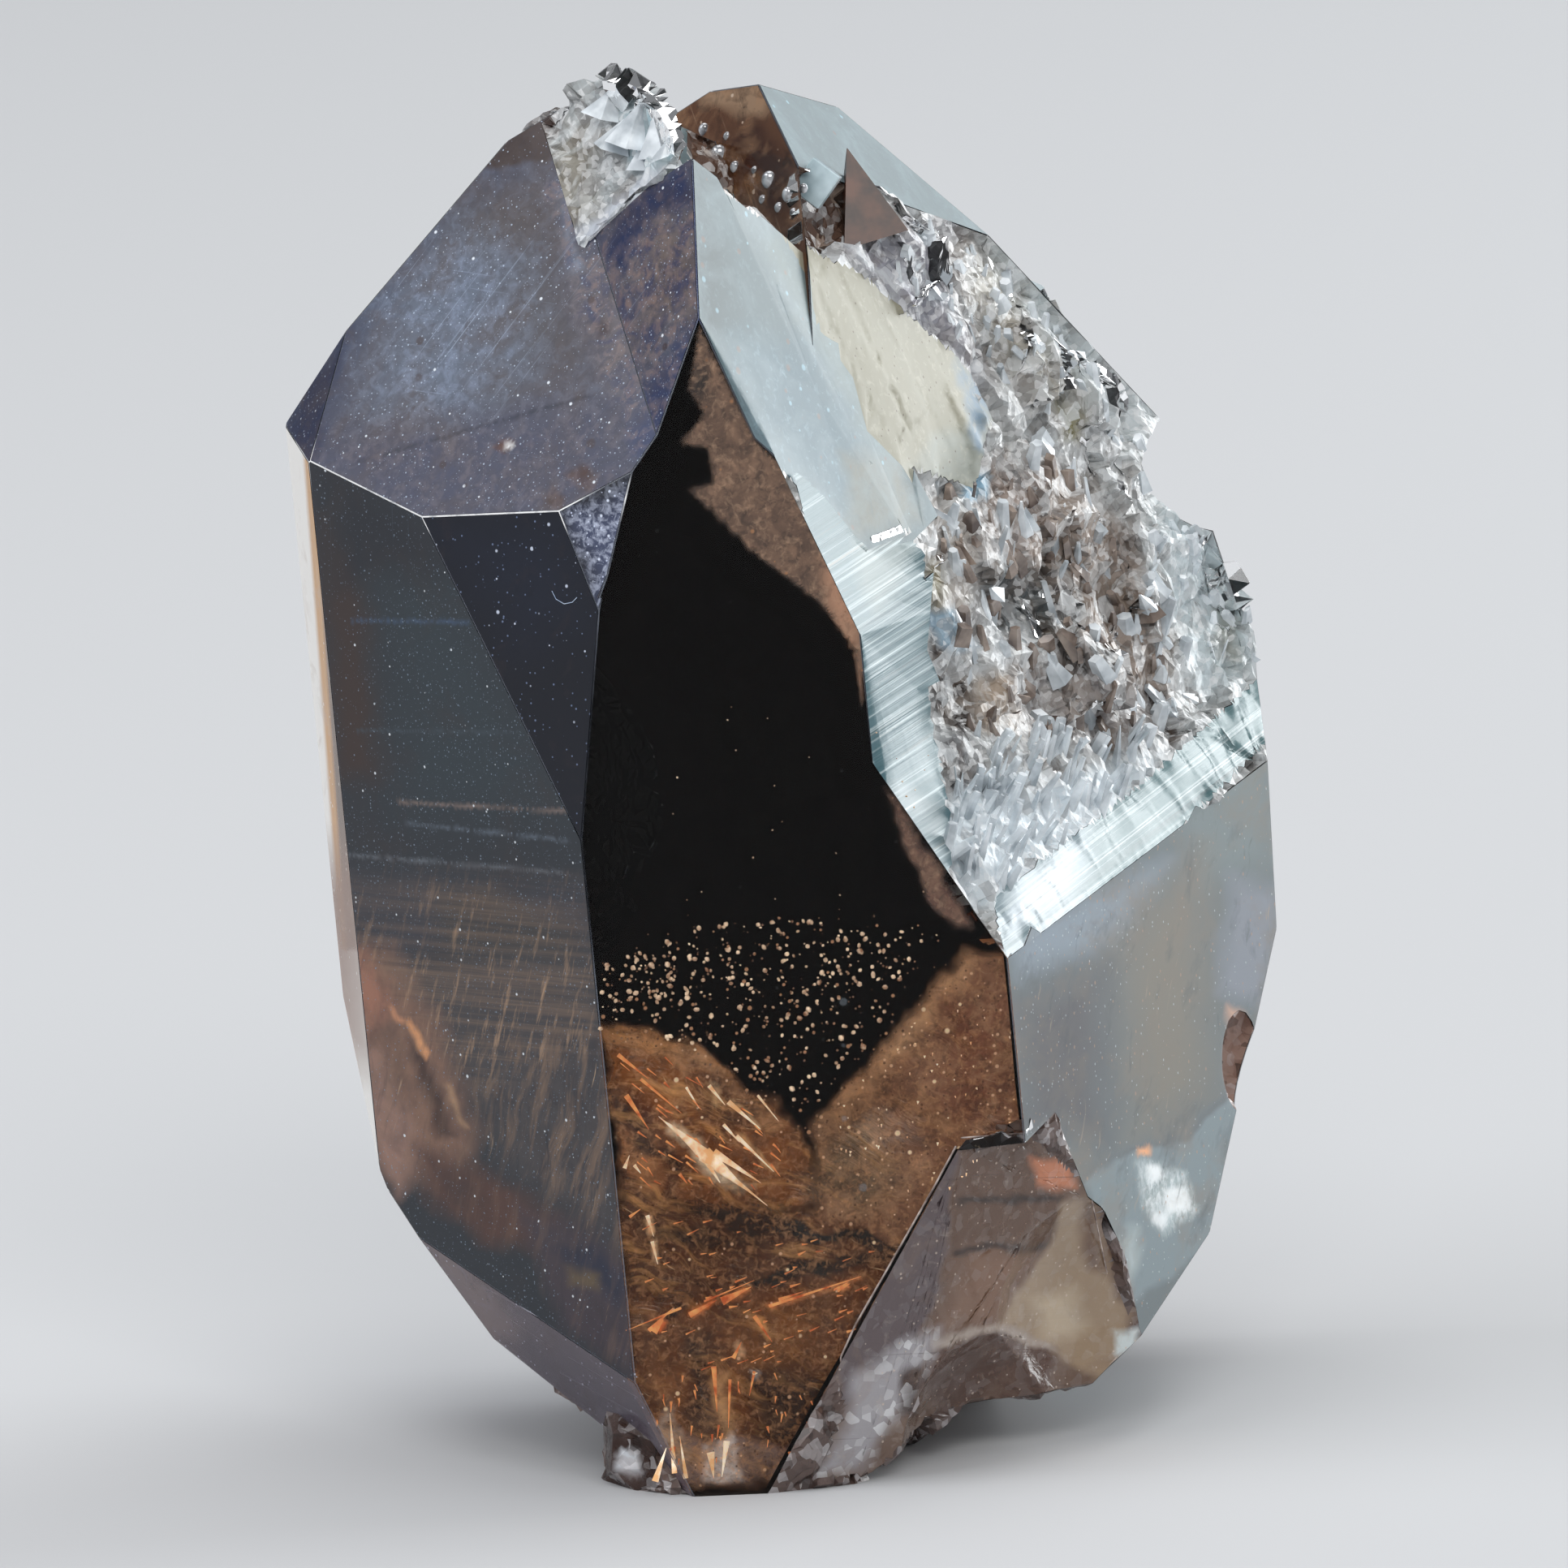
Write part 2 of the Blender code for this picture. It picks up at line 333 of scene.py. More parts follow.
def split_long(mesh_edit, step, chosen, rounds=24, flat=False):
    """Halves the longest edge of each chosen triangle again and again, until it is shorter than step."""
    bmesh.ops.triangulate(mesh_edit, faces=[f for f in mesh_edit.faces if len(f.verts) > 3])
    for _ in range(rounds):
        if flat and len(mesh_edit.faces) < 12000:
            even_out(mesh_edit)
        longest = (max(f.edges, key=lambda e: e.calc_length()) for f in mesh_edit.faces if chosen(f))
        edges = {e for e in longest if e.calc_length() > step}
        if not edges:
            return
        for edge in edges:
            sides = [(loop.face, loop.link_loop_prev.vert) for loop in edge.link_loops]
            middle = bmesh.utils.edge_split(edge, edge.verts[0], 0.5)[1]
            for face, corner in sides:
                bmesh.utils.face_split(face, middle, corner)


def inside(where, corners, soft):
    """How far each pixel is inside a patch, from 0 outside to 1 inside, softened over some pixels."""
    shape = np.array(corners, float)
    near = np.full(len(where), 1e9)
    crossed = np.zeros(len(where), bool)
    for a, b in zip(shape, np.roll(shape, -1, axis=0)):
        along = np.clip(((where - a) @ (b - a)) / max((b - a) @ (b - a), 1e-9), 0, 1)
        near = np.minimum(near, np.linalg.norm(where - a - along[:, None] * (b - a), axis=1))
        over = (a[1] > where[:, 1]) != (b[1] > where[:, 1])
        rise = b[1] - a[1] if b[1] != a[1] else 1e-9
        crossed ^= over & (where[:, 0] < a[0] + (where[:, 1] - a[1]) * (b[0] - a[0]) / rise)
    signed = np.where(crossed, near, -near)
    return np.clip(0.5 + signed / (2 * soft), 0, 1)


split_long(stone, GRAIN_STEP, lambda f: f[region] in (BROKEN, RIGHT_TIP))
print("cut to", len(stone.faces), "faces")

# %% Name the smoother patches of the broken parts
PALE_OUTLINE = [(845, 205), (960, 285), (1050, 430), (1110, 570), (1140, 650), (1050, 662), (930, 548),
                (862, 402)]
STRIP_OUTLINE = [(980, 590), (1050, 655), (1094, 640), (1137, 680), (1143, 860), (1168, 1000),
                 (1172, 1060), (1160, 1086), (1080, 972), (1020, 790)]
TIP_OUTLINE = [(666, 205), (700, 120), (740, 94), (832, 112), (852, 200), (816, 205), (740, 288),
               (692, 318)]
CREAM_OUTLINE = [(960, 285), (1062, 340), (1182, 440), (1222, 510), (1200, 600), (1112, 572), (1050, 430)]
BAND_OUTLINE = [(1225, 1105), (1238, 1182), (1420, 1052), (1568, 908), (1562, 826), (1400, 972)]
CHIP_OUTLINE = [(1180, 1405), (1266, 1398), (1350, 1470), (1372, 1572), (1390, 1616), (1480, 1540),
                (1500, 1560), (1400, 1700), (1330, 1716), (1155, 1734), (1075, 1815), (1000, 1822),
                (1041, 1742), (1030, 1676)]
NUB_OUTLINE = [(716, 1722), (800, 1722), (812, 1832), (730, 1836)]
JUMBLE_OUTLINE = [(812, 112), (860, 112), (990, 190), (1110, 262), (1020, 306), (958, 285), (845, 206)]
FACET_OUTLINE = [(846, 112), (912, 120), (992, 262), (962, 284), (848, 203)]
LOOSE = (BROKEN, PALE, RIGHT_TIP)
ZONES = [
    (PALE, PALE_OUTLINE, LOOSE),
    (STRIP, STRIP_OUTLINE, LOOSE),
    (CREAM, CREAM_OUTLINE, LOOSE),
    (BAND, BAND_OUTLINE, LOOSE),
    (CHIP, CHIP_OUTLINE, LOOSE),
    (NUB, NUB_OUTLINE, LOOSE),
    (JUMBLE, JUMBLE_OUTLINE, (BROKEN,)),
    (JUMBLE, FACET_OUTLINE, (BROKEN, RIGHT_TIP)),
    (BROKEN, TIP_OUTLINE, (JUMBLE, FACES.index("big tip face"), FACES.index("mottled tip face"))),
]
front = [f for f in stone.faces if f.normal.dot(SIGHT) < 0]
middles = seen_at(np.array([f.calc_center_median() for f in front]))
for code, outline, movable in ZONES:
    for face, share in zip(front, inside(middles, outline, 1)):
        if share > 0.5 and face[region] in movable:
            face[region] = code
calm = {PALE, RIGHT_TIP, STRIP, CREAM, BAND}
settled = [v for v in stone.verts if all(f[region] in calm for f in v.link_faces)]
for _ in range(60):
    bmesh.ops.smooth_vert(
        stone, verts=settled, factor=0.5, use_axis_x=True, use_axis_y=True, use_axis_z=True
    )
SHAKES = {BROKEN: 1.0, CREAM: 0.12, BAND: 0.1, CHIP: 0.1, NUB: 0.35, JUMBLE: 1.3}
print("patches:", {code: sum(f[region] == code for f in stone.faces) for code in SHAKES})

# %% Shake the broken parts into blocks and splinters
BLOCK = Vector((1.5, 1.5, 3.4)) * MM
turned_blocks = Matrix.Rotation(math.radians(-30), 3, "Y") @ Matrix.Rotation(math.radians(22), 3, "Z")
for vert in stone.verts:
    codes = {f[region] for f in vert.link_faces}
    if max(codes) >= 0 or WORN_EDGE in codes or vert.co.z < 0.02 * MM:
        continue
    own = turned_blocks.transposed() @ vert.co
    block = noise.cell(Vector((own.x / BLOCK.x, own.y / BLOCK.y, own.z / BLOCK.z)))
    lump = noise.noise(vert.co / (2.2 * MM)) * 0.3 + (block - 0.5) * 0.42
    lump += random.uniform(-0.04, 0.04)
    vert.co += vert.normal * lump * MM * min(SHAKES[code] for code in codes)
    vert.co.z = max(vert.co.z, 0.0)
for face in stone.faces:
    face.smooth = face[region] in (CHIP, CREAM, BAND, STRIP, PALE, RIGHT_TIP)
stone.normal_update()
surface = BVHTree.FromBMesh(stone)


def on_body(px, py):
    """The point of the body under a pixel of the photograph, and the way its surface faces there."""
    aim = on_face(px, py, "front prism")
    point, out, _, _ = surface.ray_cast(EYE, (aim - EYE).normalized())
    return point, out


print("body:", len(stone.faces), "faces, open edges", sum(not e.is_manifold for e in stone.edges))

# %% [markdown]
# ## Smoky glass
# Quartz bends light with an index of 1.544. Its smoke is in the whole volume, so the brown isn't painted on:
# a plain Volume Absorption eats blue first, then green, then red, and a thick part goes black by itself.

# %% The glass
smoky_glass, glass_tree = new_material("smoky_quartz_glass")
place_node = add(glass_tree, "ShaderNodeTexCoord")
ripple = add(
    glass_tree,
    "ShaderNodeTexNoise",
    {"Vector": place_node.outputs["Object"], "Scale": 260.0, "Detail": 2.0},
)
swell = add(
    glass_tree,
    "ShaderNodeBump",
    {"Strength": 0.03, "Distance": 0.00002, "Height": ripple.outputs["Fac"]},
)
glass = add(
    glass_tree,
    "ShaderNodeBsdfPrincipled",
    {
        "Base Color": (1, 1, 1, 1),
        "Roughness": 0.02,
        "Specular IOR Level": 0.07,
        "Specular Tint": (0.25, 0.25, 0.25, 1),
        "IOR": 1.544,
        "Transmission Weight": 1.0,
        "Normal": swell.outputs["Normal"],
    },
)
smoke = add(
    glass_tree,
    "ShaderNodeVolumeAbsorption",
    {"Color": (0.56, 0.36, 0.17, 1), "Density": 560.0},
)
add(
    glass_tree,
    "ShaderNodeOutputMaterial",
    {"Surface": glass.outputs[0], "Volume": smoke.outputs[0]},
)
body_copy = stone.copy()
body = new_object("crystal_body", body_copy, smoky_glass)
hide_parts("morion_crystal")
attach(body, "root")
print("body has", len(body.data.polygons), "faces")

# %% [markdown]
# ## Patterns that many films share
# Four patterns cover most of what a face shows: round specks, growth lines that run one way, soft mottling,
# and the bright and dark chips of broken quartz. Each is a node group, so every film sets its own values.

# %% Make the pattern groups
def new_group(name, inputs, outputs):
    """An empty node group with named sockets, and its two end nodes."""
    tree = bpy.data.node_groups.new(name, "ShaderNodeTree")
    for title, kind, value in inputs:
        socket = tree.interface.new_socket(name=title, in_out="INPUT", socket_type=kind)
        if value is not None:
            socket.default_value = value
    for title, kind in outputs:
        tree.interface.new_socket(name=title, in_out="OUTPUT", socket_type=kind)
    return tree, tree.nodes.new("NodeGroupInput"), tree.nodes.new("NodeGroupOutput")


VECTOR, FLOAT = "NodeSocketVector", "NodeSocketFloat"

specks, given, result = new_group(
    "specks",
    [("Place", VECTOR, None), ("Size", FLOAT, 0.3), ("Amount", FLOAT, 0.5)],
    [("Mask", FLOAT), ("Chance", FLOAT)],
)
shrunk = add(specks, "ShaderNodeVectorMath", {0: given.outputs["Place"]}, operation="DIVIDE")
size3 = add(specks, "ShaderNodeCombineXYZ", {k: given.outputs["Size"] for k in "XYZ"})
specks.links.new(size3.outputs[0], shrunk.inputs[1])
cells = add(specks, "ShaderNodeTexVoronoi", {"Vector": shrunk.outputs[0], "Scale": 1.0})
chance = add(specks, "ShaderNodeSeparateColor", {"Color": cells.outputs["Color"]})
reach = add(
    specks, "ShaderNodeMath", {0: chance.outputs["Green"], 1: 0.30}, operation="MULTIPLY"
)
rim = add(specks, "ShaderNodeMath", {0: reach.outputs[0], 1: 0.6}, operation="MULTIPLY")
dot = add(
    specks,
    "ShaderNodeMapRange",
    {
        "Value": cells.outputs["Distance"],
        "From Min": rim.outputs[0],
        "From Max": reach.outputs[0],
        "To Min": 1.0,
        "To Max": 0.0,
    },
)
kept = add(
    specks,
    "ShaderNodeMath",
    {0: chance.outputs["Red"], 1: given.outputs["Amount"]},
    operation="LESS_THAN",
)
dots = add(specks, "ShaderNodeMath", {0: dot.outputs[0], 1: kept.outputs[0]}, operation="MULTIPLY")
specks.links.new(dots.outputs[0], result.inputs["Mask"])
specks.links.new(chance.outputs["Blue"], result.inputs["Chance"])

lines, given, result = new_group(
    "growth_lines",
    [
        ("Place", VECTOR, None),
        ("Spacing", FLOAT, 0.3),
        ("Amount", FLOAT, 0.5),
        ("Run", FLOAT, 0.06),
        ("Waver", FLOAT, 0.0),
    ],
    [("Mask", FLOAT), ("Height", FLOAT)],
)
bend = add(lines, "ShaderNodeTexNoise", {"Vector": given.outputs["Place"], "Scale": 0.35, "Detail": 2.0})
bent = add(
    lines,
    "ShaderNodeVectorMath",
    {0: bend.outputs["Color"], "Scale": given.outputs["Waver"]},
    operation="SCALE",
)
wavy = add(
    lines, "ShaderNodeVectorMath", {0: given.outputs["Place"], 1: bent.outputs[0]}, operation="ADD"
)
axes = add(lines, "ShaderNodeSeparateXYZ", {"Vector": wavy.outputs[0]})
steps = add(
    lines, "ShaderNodeMath", {0: axes.outputs["Y"], 1: given.outputs["Spacing"]}, operation="DIVIDE"
)
run = add(
    lines, "ShaderNodeMath", {0: axes.outputs["X"], 1: given.outputs["Run"]}, operation="MULTIPLY"
)
drawn = add(lines, "ShaderNodeCombineXYZ", {"X": run.outputs[0], "Y": steps.outputs[0]})
streak = add(
    lines,
    "ShaderNodeTexNoise",
    {"Vector": drawn.outputs[0], "Scale": 1.0, "Detail": 4.0, "Roughness": 0.7},
)
floor_level = add(
    lines, "ShaderNodeMath", {0: 0.68, 1: given.outputs["Amount"]}, operation="SUBTRACT"
)
line_mask = add(
    lines,
    "ShaderNodeMapRange",
    {"Value": streak.outputs["Fac"], "From Min": floor_level.outputs[0], "From Max": 0.72},
)
lines.links.new(line_mask.outputs[0], result.inputs["Mask"])
lines.links.new(streak.outputs["Fac"], result.inputs["Height"])

mottle, given, result = new_group(
    "mottling",
    [("Place", VECTOR, None), ("Size", FLOAT, 2.0), ("Amount", FLOAT, 0.5)],
    [("Mask", FLOAT)],
)
pitch = add(mottle, "ShaderNodeMath", {0: 1.0, 1: given.outputs["Size"]}, operation="DIVIDE")
cloud = add(
    mottle,
    "ShaderNodeTexNoise",
    {
        "Vector": given.outputs["Place"],
        "Scale": pitch.outputs[0],
        "Detail": 6.0,
        "Roughness": 0.62,
        "Distortion": 0.6,
    },
)
low = add(mottle, "ShaderNodeMath", {0: 0.75, 1: given.outputs["Amount"]}, operation="SUBTRACT")
high = add(mottle, "ShaderNodeMath", {0: low.outputs[0], 1: 0.22}, operation="ADD")
cloud_mask = add(
    mottle,
    "ShaderNodeMapRange",
    {"Value": cloud.outputs["Fac"], "From Min": low.outputs[0], "From Max": high.outputs[0]},
)
mottle.links.new(cloud_mask.outputs[0], result.inputs["Mask"])

chips, given, result = new_group(
    "broken_grain",
    [("Place", VECTOR, None), ("Size", FLOAT, 0.6)],
    [("Bright", FLOAT), ("Dark", FLOAT), ("Height", FLOAT)],
)
pitch = add(chips, "ShaderNodeMath", {0: 1.0, 1: given.outputs["Size"]}, operation="DIVIDE")
flakes = add(
    chips, "ShaderNodeTexVoronoi", {"Vector": given.outputs["Place"], "Scale": pitch.outputs[0]}
)
tone = add(chips, "ShaderNodeSeparateColor", {"Color": flakes.outputs["Color"]})
bright = add(
    chips,
    "ShaderNodeMapRange",
    {"Value": tone.outputs["Red"], "From Min": 0.62, "From Max": 1.0},
)
dark = add(
    chips,
    "ShaderNodeMapRange",
    {"Value": tone.outputs["Green"], "From Min": 0.7, "From Max": 1.0},
)
tilt = add(
    chips,
    "ShaderNodeMath",
    {0: flakes.outputs["Distance"], 1: tone.outputs["Blue"]},
    operation="MULTIPLY",
)
chips.links.new(bright.outputs[0], result.inputs["Bright"])
chips.links.new(dark.outputs[0], result.inputs["Dark"])
chips.links.new(tilt.outputs[0], result.inputs["Height"])
print("pattern groups:", [g.name for g in bpy.data.node_groups])

# %% [markdown]
# ## Films on the faces
# On each face of the real crystal lies a skin a few hundredths of a millimetre thick: etching, frost, iron
# stain or dust. Here a film is a copy of the face, lifted by that much and cut into small triangles. Its
# corners hold painted values: the tint, how much the film covers the glass, how much dust it holds, and
# how strong its streaks and its rows of dashes are; on the lower crystal the rows value marks a painted
# white flash instead. The painting follows large patches named by a few corners, and the fine pattern
# comes from the shader groups.

# %% A film material
def film(name, rough=0.4, bump=0.4, overlays=(), coat=0.0, glow=0.0):
    """A thin film. Each overlay is (pattern, values, colour, strength, how much alpha it adds)."""
    material, tree = new_material(name)
    where = add(tree, "ShaderNodeTexCoord")
    place = add(
        tree, "ShaderNodeVectorMath", {0: where.outputs["Object"], "Scale": 1000.0}, operation="SCALE"
    ).outputs[0]
    painted = {
        key: add(tree, "ShaderNodeAttribute", attribute_name=key)
        for key in ("tint", "cover", "dust", "streak", "rows", "grain")
    }
    colour = painted["tint"].outputs["Color"]
    alpha = painted["cover"].outputs["Fac"]
    height = None
    for pattern, values, shade, strength, opaque in overlays:
        group = add(tree, "ShaderNodeGroup", node_tree=bpy.data.node_groups[pattern])
        source = painted["grain"].outputs["Vector"] if "turn" in values else place
        if values.get("turn"):
            source = add(
                tree, "ShaderNodeMapping", {"Vector": source, "Rotation": (0, 0, math.radians(values["turn"]))}
            ).outputs[0]
        tree.links.new(source, group.inputs["Place"])
        for key in ("Size", "Spacing", "Amount", "Run", "Waver"):
            if key in values:
                group.inputs[key].default_value = values[key]
        if values.get("amount by"):
            more = add(
                tree,
                "ShaderNodeMath",
                {0: painted[values["amount by"]].outputs["Fac"], 1: values["Amount"]},
                operation="MULTIPLY",
            )
            tree.links.new(more.outputs[0], group.inputs["Amount"])
        mask = group.outputs[values.get("out", 0)]
        mask = add(tree, "ShaderNodeMath", {0: mask, 1: strength}, operation="MULTIPLY").outputs[0]
        if values.get("by"):
            mask = add(
                tree,
                "ShaderNodeMath",
                {0: mask, 1: painted[values["by"]].outputs["Fac"]},
                operation="MULTIPLY",
            ).outputs[0]
        colour = add(
            tree,
            "ShaderNodeMix",
            {0: mask, 6: colour, 7: rgb(*shade)},
            data_type="RGBA",
        ).outputs[2]
        if opaque:
            lit = add(tree, "ShaderNodeMath", {0: mask, 1: opaque}, operation="MULTIPLY").outputs[0]
            alpha = add(tree, "ShaderNodeMath", {0: alpha, 1: lit}, operation="MAXIMUM").outputs[0]
        if values.get("raise"):
            lift = add(
                tree,
                "ShaderNodeMath",
                {0: group.outputs[-1], 1: values["raise"]},
                operation="MULTIPLY",
            ).outputs[0]
            height = add(tree, "ShaderNodeMath", {0: height, 1: lift}).outputs[0] if height else lift
    shader = add(
        tree,
        "ShaderNodeBsdfPrincipled",
        {
            "Base Color": colour,
            "Roughness": rough,
            "Metallic": 0.0,
            "Coat Weight": coat,
            "Coat Roughness": 0.05,
            "Alpha": alpha,
        },
    )
    # Glow makes the film emit its own colour: painted light, not a lamp.
    if glow:
        tree.links.new(colour, shader.inputs["Emission Color"])
        shader.inputs["Emission Strength"].default_value = glow
    if height:
        relief = add(
            tree, "ShaderNodeBump", {"Strength": bump, "Distance": 0.0001, "Height": height}
        )
        tree.links.new(relief.outputs["Normal"], shader.inputs["Normal"])
    add(tree, "ShaderNodeOutputMaterial", {"Surface": shader.outputs[0]})
    return material


# %% A film's shape and painting
def ragged(where, amount, size=30.0):
    """The same pixels, shaken by smooth waves, so that a patch gets a natural outline."""
    x, y = where[:, 0] / size, where[:, 1] / size
    across = np.sin(1.3 * x + 2.1 * y) + np.sin(3.1 * x - 1.7 * y + 1) + 0.6 * np.sin(6.3 * x + 5.1 * y)
    down = np.sin(2.3 * x - 1.1 * y + 2) + np.sin(1.9 * x + 3.3 * y) + 0.6 * np.sin(5.7 * x - 6.1 * y)
    return where + np.stack((across, down), axis=1) * amount / 2


def patch(corners, soft, tint=None, cover=None, dust=None, streak=None, rows=None):
    """One painted patch: its corners in the photograph, its soft rim in pixels, and what it changes."""
    changes = {"tint": tint, "cover": cover, "dust": dust, "streak": streak, "rows": rows}
    return corners, soft, changes


def paint(mesh, base, patches, along, shake):
    """Stores the film's painted values on its corners. along is two pixels that its grain follows."""
    places = np.array([v.co for v in mesh.vertices])
    where = seen_at(places)
    shaken = ragged(where, shake)
    values = {key: np.full(len(places), float(base[key])) for key in ("cover", "dust", "streak", "rows")}
    values["tint"] = np.tile(np.array(rgb(*base["tint"])), (len(places), 1))
    for corners, soft, changes in patches:
        share = inside(where if soft <= 2 else shaken, corners, soft)
        for key, goal in changes.items():
            if goal is None:
                continue
            if key == "tint":
                values[key] += (np.array(rgb(*goal)) - values[key]) * share[:, None]
            else:
                values[key] += (goal - values[key]) * share
    run = np.array((along[1][0] - along[0][0], along[0][1] - along[1][1]), float)
    run /= np.linalg.norm(run)
    flat = np.stack(((where[:, 0] - 966) * 0.03, (966 - where[:, 1]) * 0.03), axis=1)
    across = np.array((-run[1], run[0]))
    grains = np.stack((flat @ run, flat @ across, np.zeros(len(flat))), axis=1)
    mesh.attributes.new("tint", "FLOAT_COLOR", "POINT").data.foreach_set("color", values["tint"].ravel())
    mesh.attributes.new("grain", "FLOAT_VECTOR", "POINT").data.foreach_set("vector", grains.ravel())
    for key in ("cover", "dust", "streak", "rows"):
        mesh.attributes.new(key, "FLOAT", "POINT").data.foreach_set("value", values[key])


def lifted(name, chosen, lift, step, material, flat):
    """A copy of the chosen faces of the body, cut to small triangles and lifted off the glass."""
    copy = stone.copy()
    layer = copy.faces.layers.int["region"]
    bmesh.ops.delete(copy, geom=[f for f in copy.faces if not chosen(f, layer)], context="FACES")
    bmesh.ops.triangulate(copy, faces=[f for f in copy.faces if len(f.verts) > 3])
    copy.normal_update()
    moves = {v: v.normal.copy() for v in copy.verts}
    for vert, way in moves.items():
        vert.co += way * lift * MM
    split_long(copy, step * MM, lambda f: True, flat=flat)
    for vert in copy.verts:
        vert.co.z = max(vert.co.z, 0.0)
    made = new_object(name, copy, material)
    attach(made, "root")
    return made


def by_face(*names):
    """Picks the faces of these names, or with these codes."""
    wanted = {FACES.index(n) if isinstance(n, str) else n for n in names}
    return lambda face, layer: face[layer] in wanted


def dress(name, chosen, material, tint, cover, dust=0.0, streak=0.0, patches=(),
          along=((0, 0), (1, 0)), lift=0.03, step=0.3, shake=6.0, flat=True):
    """One film: its faces, its material, its first painted values and its patches."""
    made = lifted(name, chosen, lift, step, material, flat)
    base = {"tint": tint, "cover": cover, "dust": dust, "streak": streak, "rows": 0.0}
    paint(made.data, base, patches, along, shake)
    print(name, len(made.data.polygons), "faces")
    return made


# %% [markdown]
# ## The big tip face
# The large face at the upper left is etched to a matt slate blue. Pale clouds of fine scratches cross it, a
# few rusty spots sit near its lower edge, and right of a shallow valley it turns mottled, blue and tan.

# %% Etched tip face
etched = film(
    "etched_slate",
    rough=0.36,
    overlays=[
        ("mottling", {"Size": 2.4, "Amount": 0.32}, (80, 68, 66), 0.55, 0),
        ("mottling", {"Size": 0.5, "Amount": 0.3, "by": "streak"}, (142, 156, 182), 0.5, 0),
        ("mottling", {"Size": 0.9, "Amount": 0.32, "by": "rows"}, (44, 54, 92), 0.75, 0),
        ("mottling", {"Size": 0.5, "Amount": 0.28, "by": "rows"}, (142, 116, 104), 0.7, 0),
        ("growth_lines", {"Spacing": 0.14, "Amount": 0.05, "turn": 0, "by": "streak"},
         (176, 192, 216), 0.6, 0),
        ("growth_lines", {"Spacing": 0.2, "Amount": 0.03, "turn": 62, "Run": 0.12, "by": "streak"},
         (160, 176, 202), 0.5, 0),
        ("mottling", {"Size": 0.3, "Amount": 0.26}, (50, 48, 60), 0.4, 0),
        ("specks", {"Size": 0.16, "Amount": 0.7, "amount by": "dust"}, (190, 204, 226), 0.7, 0.6),
        ("specks", {"Size": 0.10, "Amount": 0.9, "amount by": "dust"}, (166, 178, 200), 0.6, 0.5),
        ("specks", {"Size": 0.28, "Amount": 0.08}, (236, 242, 250), 0.9, 0.8),
        ("specks", {"Size": 0.9, "Amount": 0.12}, (58, 38, 34), 0.6, 0),
    ],
)
TIP_PATCHES = [
    patch([(300, 600), (330, 480), (415, 395), (612, 196), (646, 215), (450, 430), (400, 560)], 24,
          tint=(46, 54, 80), dust=0.3, streak=0.3),
    patch([(590, 208), (640, 150), (712, 120), (672, 206), (640, 200)], 4, tint=(46, 26, 22), dust=0.4,
          streak=0.0),
    patch([(552, 250), (668, 232), (705, 430), (620, 480), (520, 430)], 40, tint=(72, 66, 68), streak=0.2),
    patch([(470, 370), (560, 290), (640, 320), (640, 440), (560, 530), (464, 505)], 45,
          tint=(92, 102, 120), dust=1.0, streak=1.0),
    patch([(360, 560), (385, 540), (760, 500), (780, 620), (690, 640), (525, 645)], 28,
          tint=(66, 68, 88), dust=0.7, streak=0.2, rows=0.3),
    patch([(355, 565), (375, 480), (432, 405), (412, 470), (388, 575)], 6, tint=(30, 38, 70),
          cover=0.95, dust=0.5, streak=0.0),
    patch([(440, 567), (730, 484), (731, 488), (441, 571)], 1.5, tint=(36, 38, 56), dust=0.0),
    patch([(668, 228), (852, 200), (864, 400), (852, 470), (822, 552), (780, 612), (774, 520),
           (702, 335)], 5, tint=(84, 86, 100), dust=0.9, streak=0.3, rows=0.9),
    patch([(790, 250), (862, 290), (860, 400), (780, 390)], 24, tint=(112, 100, 96), dust=1.0, rows=1.0),
    patch([(706, 350), (760, 300), (800, 420), (770, 500)], 22, tint=(96, 90, 96), rows=0.9),
    patch([(735, 312), (780, 250), (852, 200), (854, 250), (802, 262), (765, 335)], 8,
          tint=(36, 46, 80), dust=0.5, streak=0.1, rows=0.3),
    patch([(790, 480), (862, 400), (850, 480), (800, 590), (776, 560)], 14, tint=(50, 60, 94), rows=0.6),
    patch([(690, 236), (704, 240), (716, 330), (702, 336)], 6, tint=(122, 130, 148), dust=1.0),
    patch([(612, 546), (628, 536), (634, 548), (622, 556)], 3, tint=(84, 48, 34)),
    patch([(624, 545), (632, 546), (630, 554), (622, 552)], 2, tint=(240, 240, 240)),
    patch([(700, 590), (716, 572), (732, 582), (722, 604)], 4, tint=(66, 40, 34)),
    patch([(670, 612), (682, 604), (694, 614), (690, 628), (674, 626)], 4, tint=(66, 38, 30)),
    patch([(730, 400), (744, 396), (748, 410), (734, 414)], 4, tint=(60, 44, 48)),
]
dress("etched_tip_face", by_face("big tip face", "left shoulder", "mottled tip face"), etched,
      (74, 74, 88), 0.95, 0.5, 0.3, TIP_PATCHES, ((470, 500), (620, 300)), step=0.26, shake=5)
